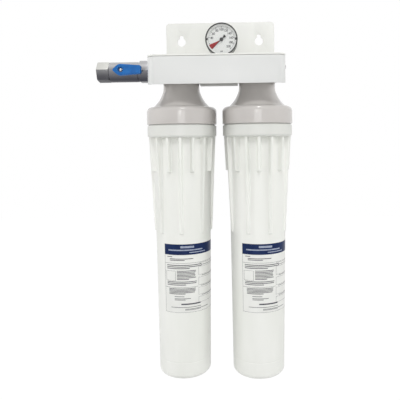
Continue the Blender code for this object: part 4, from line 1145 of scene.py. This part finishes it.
bushingSizes = {"bore": 0.0061, "nose": 0.0092, "flange": 0.0125, "flangeLong": 0.0080,
                "mouth": 0.0089, "socket": 0.0084, "socketDeep": 0.0120, "chamfer": 0.0004,
                "mouthChamfer": 0.0006, "thread": (0.0084, 0.0005, 0.0005, 0.0112, 0.0014)}


def makeBushing():
    sizes = bushingSizes
    lower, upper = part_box("outlet_bushing")
    end = upper.x - lower.x
    step, floor = end - sizes["flangeLong"], end - sizes["socketDeep"]
    nose, flange, mouth = sizes["nose"], sizes["flange"], sizes["mouth"]
    chamfer, big = sizes["chamfer"], sizes["mouthChamfer"]
    outside = [(sizes["bore"], 0.0), (nose - chamfer, 0.0), (nose, chamfer), (nose, step),
               (flange - chamfer, step), (flange, step + chamfer), (flange, end - big),
               (flange - big, end), (mouth, end), (mouth - chamfer, end - chamfer)]
    inside = [(radius, end - height) for radius, height in threadedWall(*sizes["thread"])]
    inside += [(sizes["socket"], floor), (sizes["bore"], floor)]
    bushing = turnOnLathe("outletBushing", outside + inside, 96, "X",
                          (lower.x, pipeY, portZ), True)
    finishPiece(bushing, brass, "manifold", ("outlet_bushing",))


makeBushing()
print("bushing turned")


# pressure gauge: case, bezel ring, tabs and a printed dial

gaugeSizes = {"x": 0.0053, "z": -0.013, "radius": 0.0266, "back": -0.010, "front": 0.0197,
              "rimStep": 0.0004, "rimDeep": 0.0048, "rimChamfer": 0.0002, "rimRound": 0.0009,
              "lip": 0.0247, "seat": 0.0186, "wall": 0.0010, "corner": 0.0030,
              "tab": (0.0030, 0.0009, 0.0038), "tabInset": 0.0009, "tabSunk": 0.0006,
              "tabEdge": 0.0003, "dialFace": 0.0143, "ringInner": 0.0230, "ringWide": 0.0019,
              "ringGap": 0.0001, "ringTop": 0.0167, "ringToe": (0.0003, 0.0007),
              "ringSlope": 0.0012, "print": 0.00006}
gaugeCentre = (gaugeSizes["x"], pipeY, gaugeSizes["z"])
dialSizes = {"zero": 225, "sweep": 270, "full": 200, "steps": 50, "every": 5,
             "tickOuter": 0.0222, "tickInner": 0.0208, "tickHalf": 0.00020,
             "longInner": 0.0194, "longHalf": 0.00036, "wedgeStart": 202, "wedgeEnd": 226,
             "wedgeTip": 0.0012, "wedgeSteps": 6, "wedgeRadius": 0.0222,
             "numberRadius": 0.0161, "numberSize": 0.0053, "numberGap": 0.90,
             "numberBold": 0.00006, "unitTurn": 270, "unitRadius": 0.0190,
             "unitSize": 0.0040, "numbers": (40, 60, 80, 100, 120, 140, 160, 180, 200)}


def makeCase():
    sizes = gaugeSizes
    radius, wall, corner = sizes["radius"], sizes["wall"], sizes["corner"]
    back, front, lip, seat = sizes["back"], sizes["front"], sizes["lip"], sizes["seat"]
    drum, rimFoot = radius - sizes["rimStep"], front - sizes["rimDeep"]
    chamfer = sizes["rimChamfer"]
    outside = bend([(axisGap, back), (drum, back), (drum, rimFoot - chamfer)], corner, 5)
    rim = bend([(drum, rimFoot), (radius, rimFoot + chamfer), (radius, front), (lip, front),
                (lip, seat)], sizes["rimRound"], 4)
    inside = [(radius - wall, seat), (radius - wall, back + corner),
              (radius - corner, back + wall), (axisGap, back + wall)]
    case = turnOnLathe("gaugeCase", outside + rim + inside, 96, "front", gaugeCentre, True)
    tabs = []
    for side in (-1, 1):
        tab = block("tab", sizes["tab"], (sizes["x"] + side * (lip - sizes["tabInset"]),
                                          pipeY - front + sizes["tabSunk"], sizes["z"]))
        softenEdges(tab, sizes["tabEdge"])
        tabs.append(tab)
    joinPieces(case, tabs)
    finishPiece(case, gaugeBlack, "manifold", ("gauge_case",), 35)


def makeRing():
    sizes = gaugeSizes
    inner, outer = sizes["ringInner"], sizes["ringInner"] + sizes["ringWide"]
    low, top = sizes["dialFace"] + sizes["ringGap"], sizes["ringTop"]
    profile = around((inner, low), [(0.0, 0.0), sizes["ringToe"]])
    profile += [(inner + sizes["ringSlope"], top), (outer, top), (outer, low)]
    ring = turnOnLathe("bezelRing", profile, 96, "front", gaugeCentre, True)
    finishPiece(ring, dialWhite, "manifold", smooth=35)


def printDisc(label, points, finish):
    # a flat printed shape on the dial, from a ring of (x, y) points
    clearPick()
    bpy.ops.mesh.primitive_circle_add(vertices=len(points), radius=1, fill_type="NGON")
    patch = nameIt(label)
    for vertex, (x, y) in zip(patch.data.vertices, points):
        vertex.co = (x, y, gaugeSizes["dialFace"] + gaugeSizes["print"])
    patch.data.materials.append(finish)
    return patch


def dialPoint(radius, degrees):
    return (radius * math.cos(math.radians(degrees)), radius * math.sin(math.radians(degrees)))


def makeTick(degrees, inner, outer, half):
    way = Vector(dialPoint(1, degrees))
    side = Vector((-way.y, way.x)) * half
    corners = [way * inner - side, way * outer - side, way * outer + side, way * inner + side]
    return printDisc("tick", [tuple(corner) for corner in corners], inkBlack)


def makeNumber(value, degrees, radius, size):
    x, y = dialPoint(radius, degrees)
    clearPick()
    bpy.ops.object.text_add(location=(x, y, gaugeSizes["dialFace"] + gaugeSizes["print"]))
    words = bpy.context.active_object
    words.data.body = str(value)
    words.data.size = size
    words.data.space_character = dialSizes["numberGap"]
    words.data.offset = dialSizes["numberBold"]
    words.data.align_x = "CENTER"
    words.data.align_y = "CENTER"
    bpy.ops.object.convert(target="MESH")
    number = nameIt("number")
    number.data.materials.clear()
    number.data.materials.append(inkBlack)
    fixPlace(number)
    return number


def makeDial():
    sizes = dialSizes
    first, last, steps = sizes["wedgeStart"], sizes["wedgeEnd"], sizes["wedgeSteps"]
    wedge = [dialPoint(sizes["wedgeTip"], (first + last) / 2)]
    wedge += arc((0, 0), sizes["wedgeRadius"], first, last, steps)
    sheet = printDisc("dialPrint", wedge, inkRed)
    marks = []
    for step in range(sizes["steps"] + 1):
        degrees = sizes["zero"] - sizes["sweep"] * step / sizes["steps"]
        kind = "tick" if step % sizes["every"] else "long"
        marks.append(makeTick(degrees, sizes[kind + "Inner"], sizes["tickOuter"],
                              sizes[kind + "Half"]))
    for value in sizes["numbers"]:
        marks.append(makeNumber(value, sizes["zero"] - sizes["sweep"] * value
                                / sizes["full"], sizes["numberRadius"], sizes["numberSize"]))
    marks.append(makeNumber("psi", sizes["unitTurn"], sizes["unitRadius"], sizes["unitSize"]))
    joinPieces(sheet, marks)
    layAlong(sheet, "front", gaugeCentre)
    finishPiece(sheet, None, "manifold")


makeCase()
makeRing()
makeDial()
print("gauge made")


# camera, floor and lights

cameraPlace = {"x": 0.0335, "y": -0.8753, "z": -0.1823, "pitch": -3.06, "yaw": 1.85,
               "roll": -0.616, "lens": 42.86, "sensor": 36, "shiftX": -0.061,
               "shiftY": -0.08, "near": 0.01}


def setCamera(values):
    clearPick()
    bpy.ops.object.camera_add(location=(values["x"], values["y"], values["z"]))
    camera = bpy.context.active_object
    turn = (Matrix.Rotation(math.radians(values["yaw"]), 3, "Z")
            @ Matrix.Rotation(math.radians(90 + values["pitch"]), 3, "X")
            @ Matrix.Rotation(math.radians(values["roll"]), 3, "Z"))
    camera.rotation_euler = turn.to_euler()
    camera.data.lens = values["lens"]
    camera.data.sensor_width = values["sensor"]
    camera.data.shift_x = values["shiftX"]
    camera.data.shift_y = values["shiftY"]
    camera.data.clip_start = values["near"]
    bpy.context.scene.camera = camera


# a lamp with mirrored False stays out of the gloss
lamps = {
    "key": {"place": (0.30, -2.10, 2.50), "size": 0.65, "watts": 35.0},
    "leftPanel": {"place": (-1.72, -0.55, 0.25), "size": 0.9, "watts": 11.5, "mirrored": False},
    "rightPanel": {"place": (1.72, -0.55, 0.25), "size": 0.9, "watts": 10.0, "mirrored": False},
    "frontLow": {"place": (0.10, -2.0, -0.25), "size": 0.8, "watts": 5.5},
    "frontStrip": {"place": (-0.04, -2.2, 0.30), "aim": (0.0, -0.07, -0.1), "size": 0.04,
                   "tall": 0.9, "watts": 1.8},
}
filterMiddle = (0.0, -0.07, -0.25)  # where a lamp looks unless it has its own aim
worldLight = {"fill": 0.395, "seen": 1.0}
floorPlate = {"height": -0.80, "size": 6.0, "colour": (0.80, 0.80, 0.80), "rough": 0.9,
              "glow": 1.06, "glowShare": 0.92}
white = (1.0, 1.0, 1.0, 1.0)


def setLamp(label, values):
    clearPick()
    bpy.ops.object.light_add(type="AREA", location=values["place"])
    lamp = bpy.context.active_object
    lamp.name = label
    lamp.data.energy = values["watts"]
    lamp.data.size = values["size"]
    lamp.visible_glossy = values.get("mirrored", True)
    if "tall" in values:
        lamp.data.shape = "RECTANGLE"
        lamp.data.size_y = values["tall"]
    way = Vector(values.get("aim", filterMiddle)) - Vector(values["place"])
    lamp.rotation_euler = way.to_track_quat("-Z", "Y").to_euler()


def seenByEye(tree):
    # 1 for camera, glossy and transmitted rays
    path = addNode(tree, "ShaderNodeLightPath", {}).outputs
    total = path["Is Camera Ray"]
    for name in ("Is Glossy Ray", "Is Transmission Ray"):
        top = addNode(tree, "ShaderNodeMath", {0: total, 1: path[name]}, operation="MAXIMUM")
        total = top.outputs["Value"]
    return total


def setWorld(values):
    world = bpy.data.worlds.new("studio")
    bpy.context.scene.world = world
    world.use_nodes = True
    tree = world.node_tree
    strength = levelBetween(tree, seenByEye(tree), values["fill"], values["seen"], 0.0, 1.0)
    feed(tree, tree.nodes["Background"], {"Color": white, "Strength": strength})


def layFloor(values):
    clearPick()
    bpy.ops.mesh.primitive_plane_add(size=values["size"], location=(0, 0, values["height"]))
    floor = nameIt("paleFloor")
    fixPlace(floor)
    finish, tree, shader = newFinish("paleFloor", {})
    feed(tree, shader, {"Base Color": (*values["colour"], 1.0), "Roughness": values["rough"]})
    glow = addNode(tree, "ShaderNodeEmission", {"Color": white, "Strength": values["glow"]})
    share = addNode(tree, "ShaderNodeMath", {0: seenByEye(tree), 1: values["glowShare"]},
                    operation="MULTIPLY")
    blend = addNode(tree, "ShaderNodeMixShader",
                    {0: share.outputs["Value"], 1: shader.outputs["BSDF"],
                     2: glow.outputs["Emission"]})
    feed(tree, tree.nodes["Material Output"], {"Surface": blend.outputs["Shader"]})
    floor.data.materials.append(finish)


bpy.context.scene.view_settings.view_transform = "Standard"
setCamera(cameraPlace)
for label, values in lamps.items():
    setLamp(label, values)
setWorld(worldLight)
layFloor(floorPlate)
print("camera, lights and floor ready")
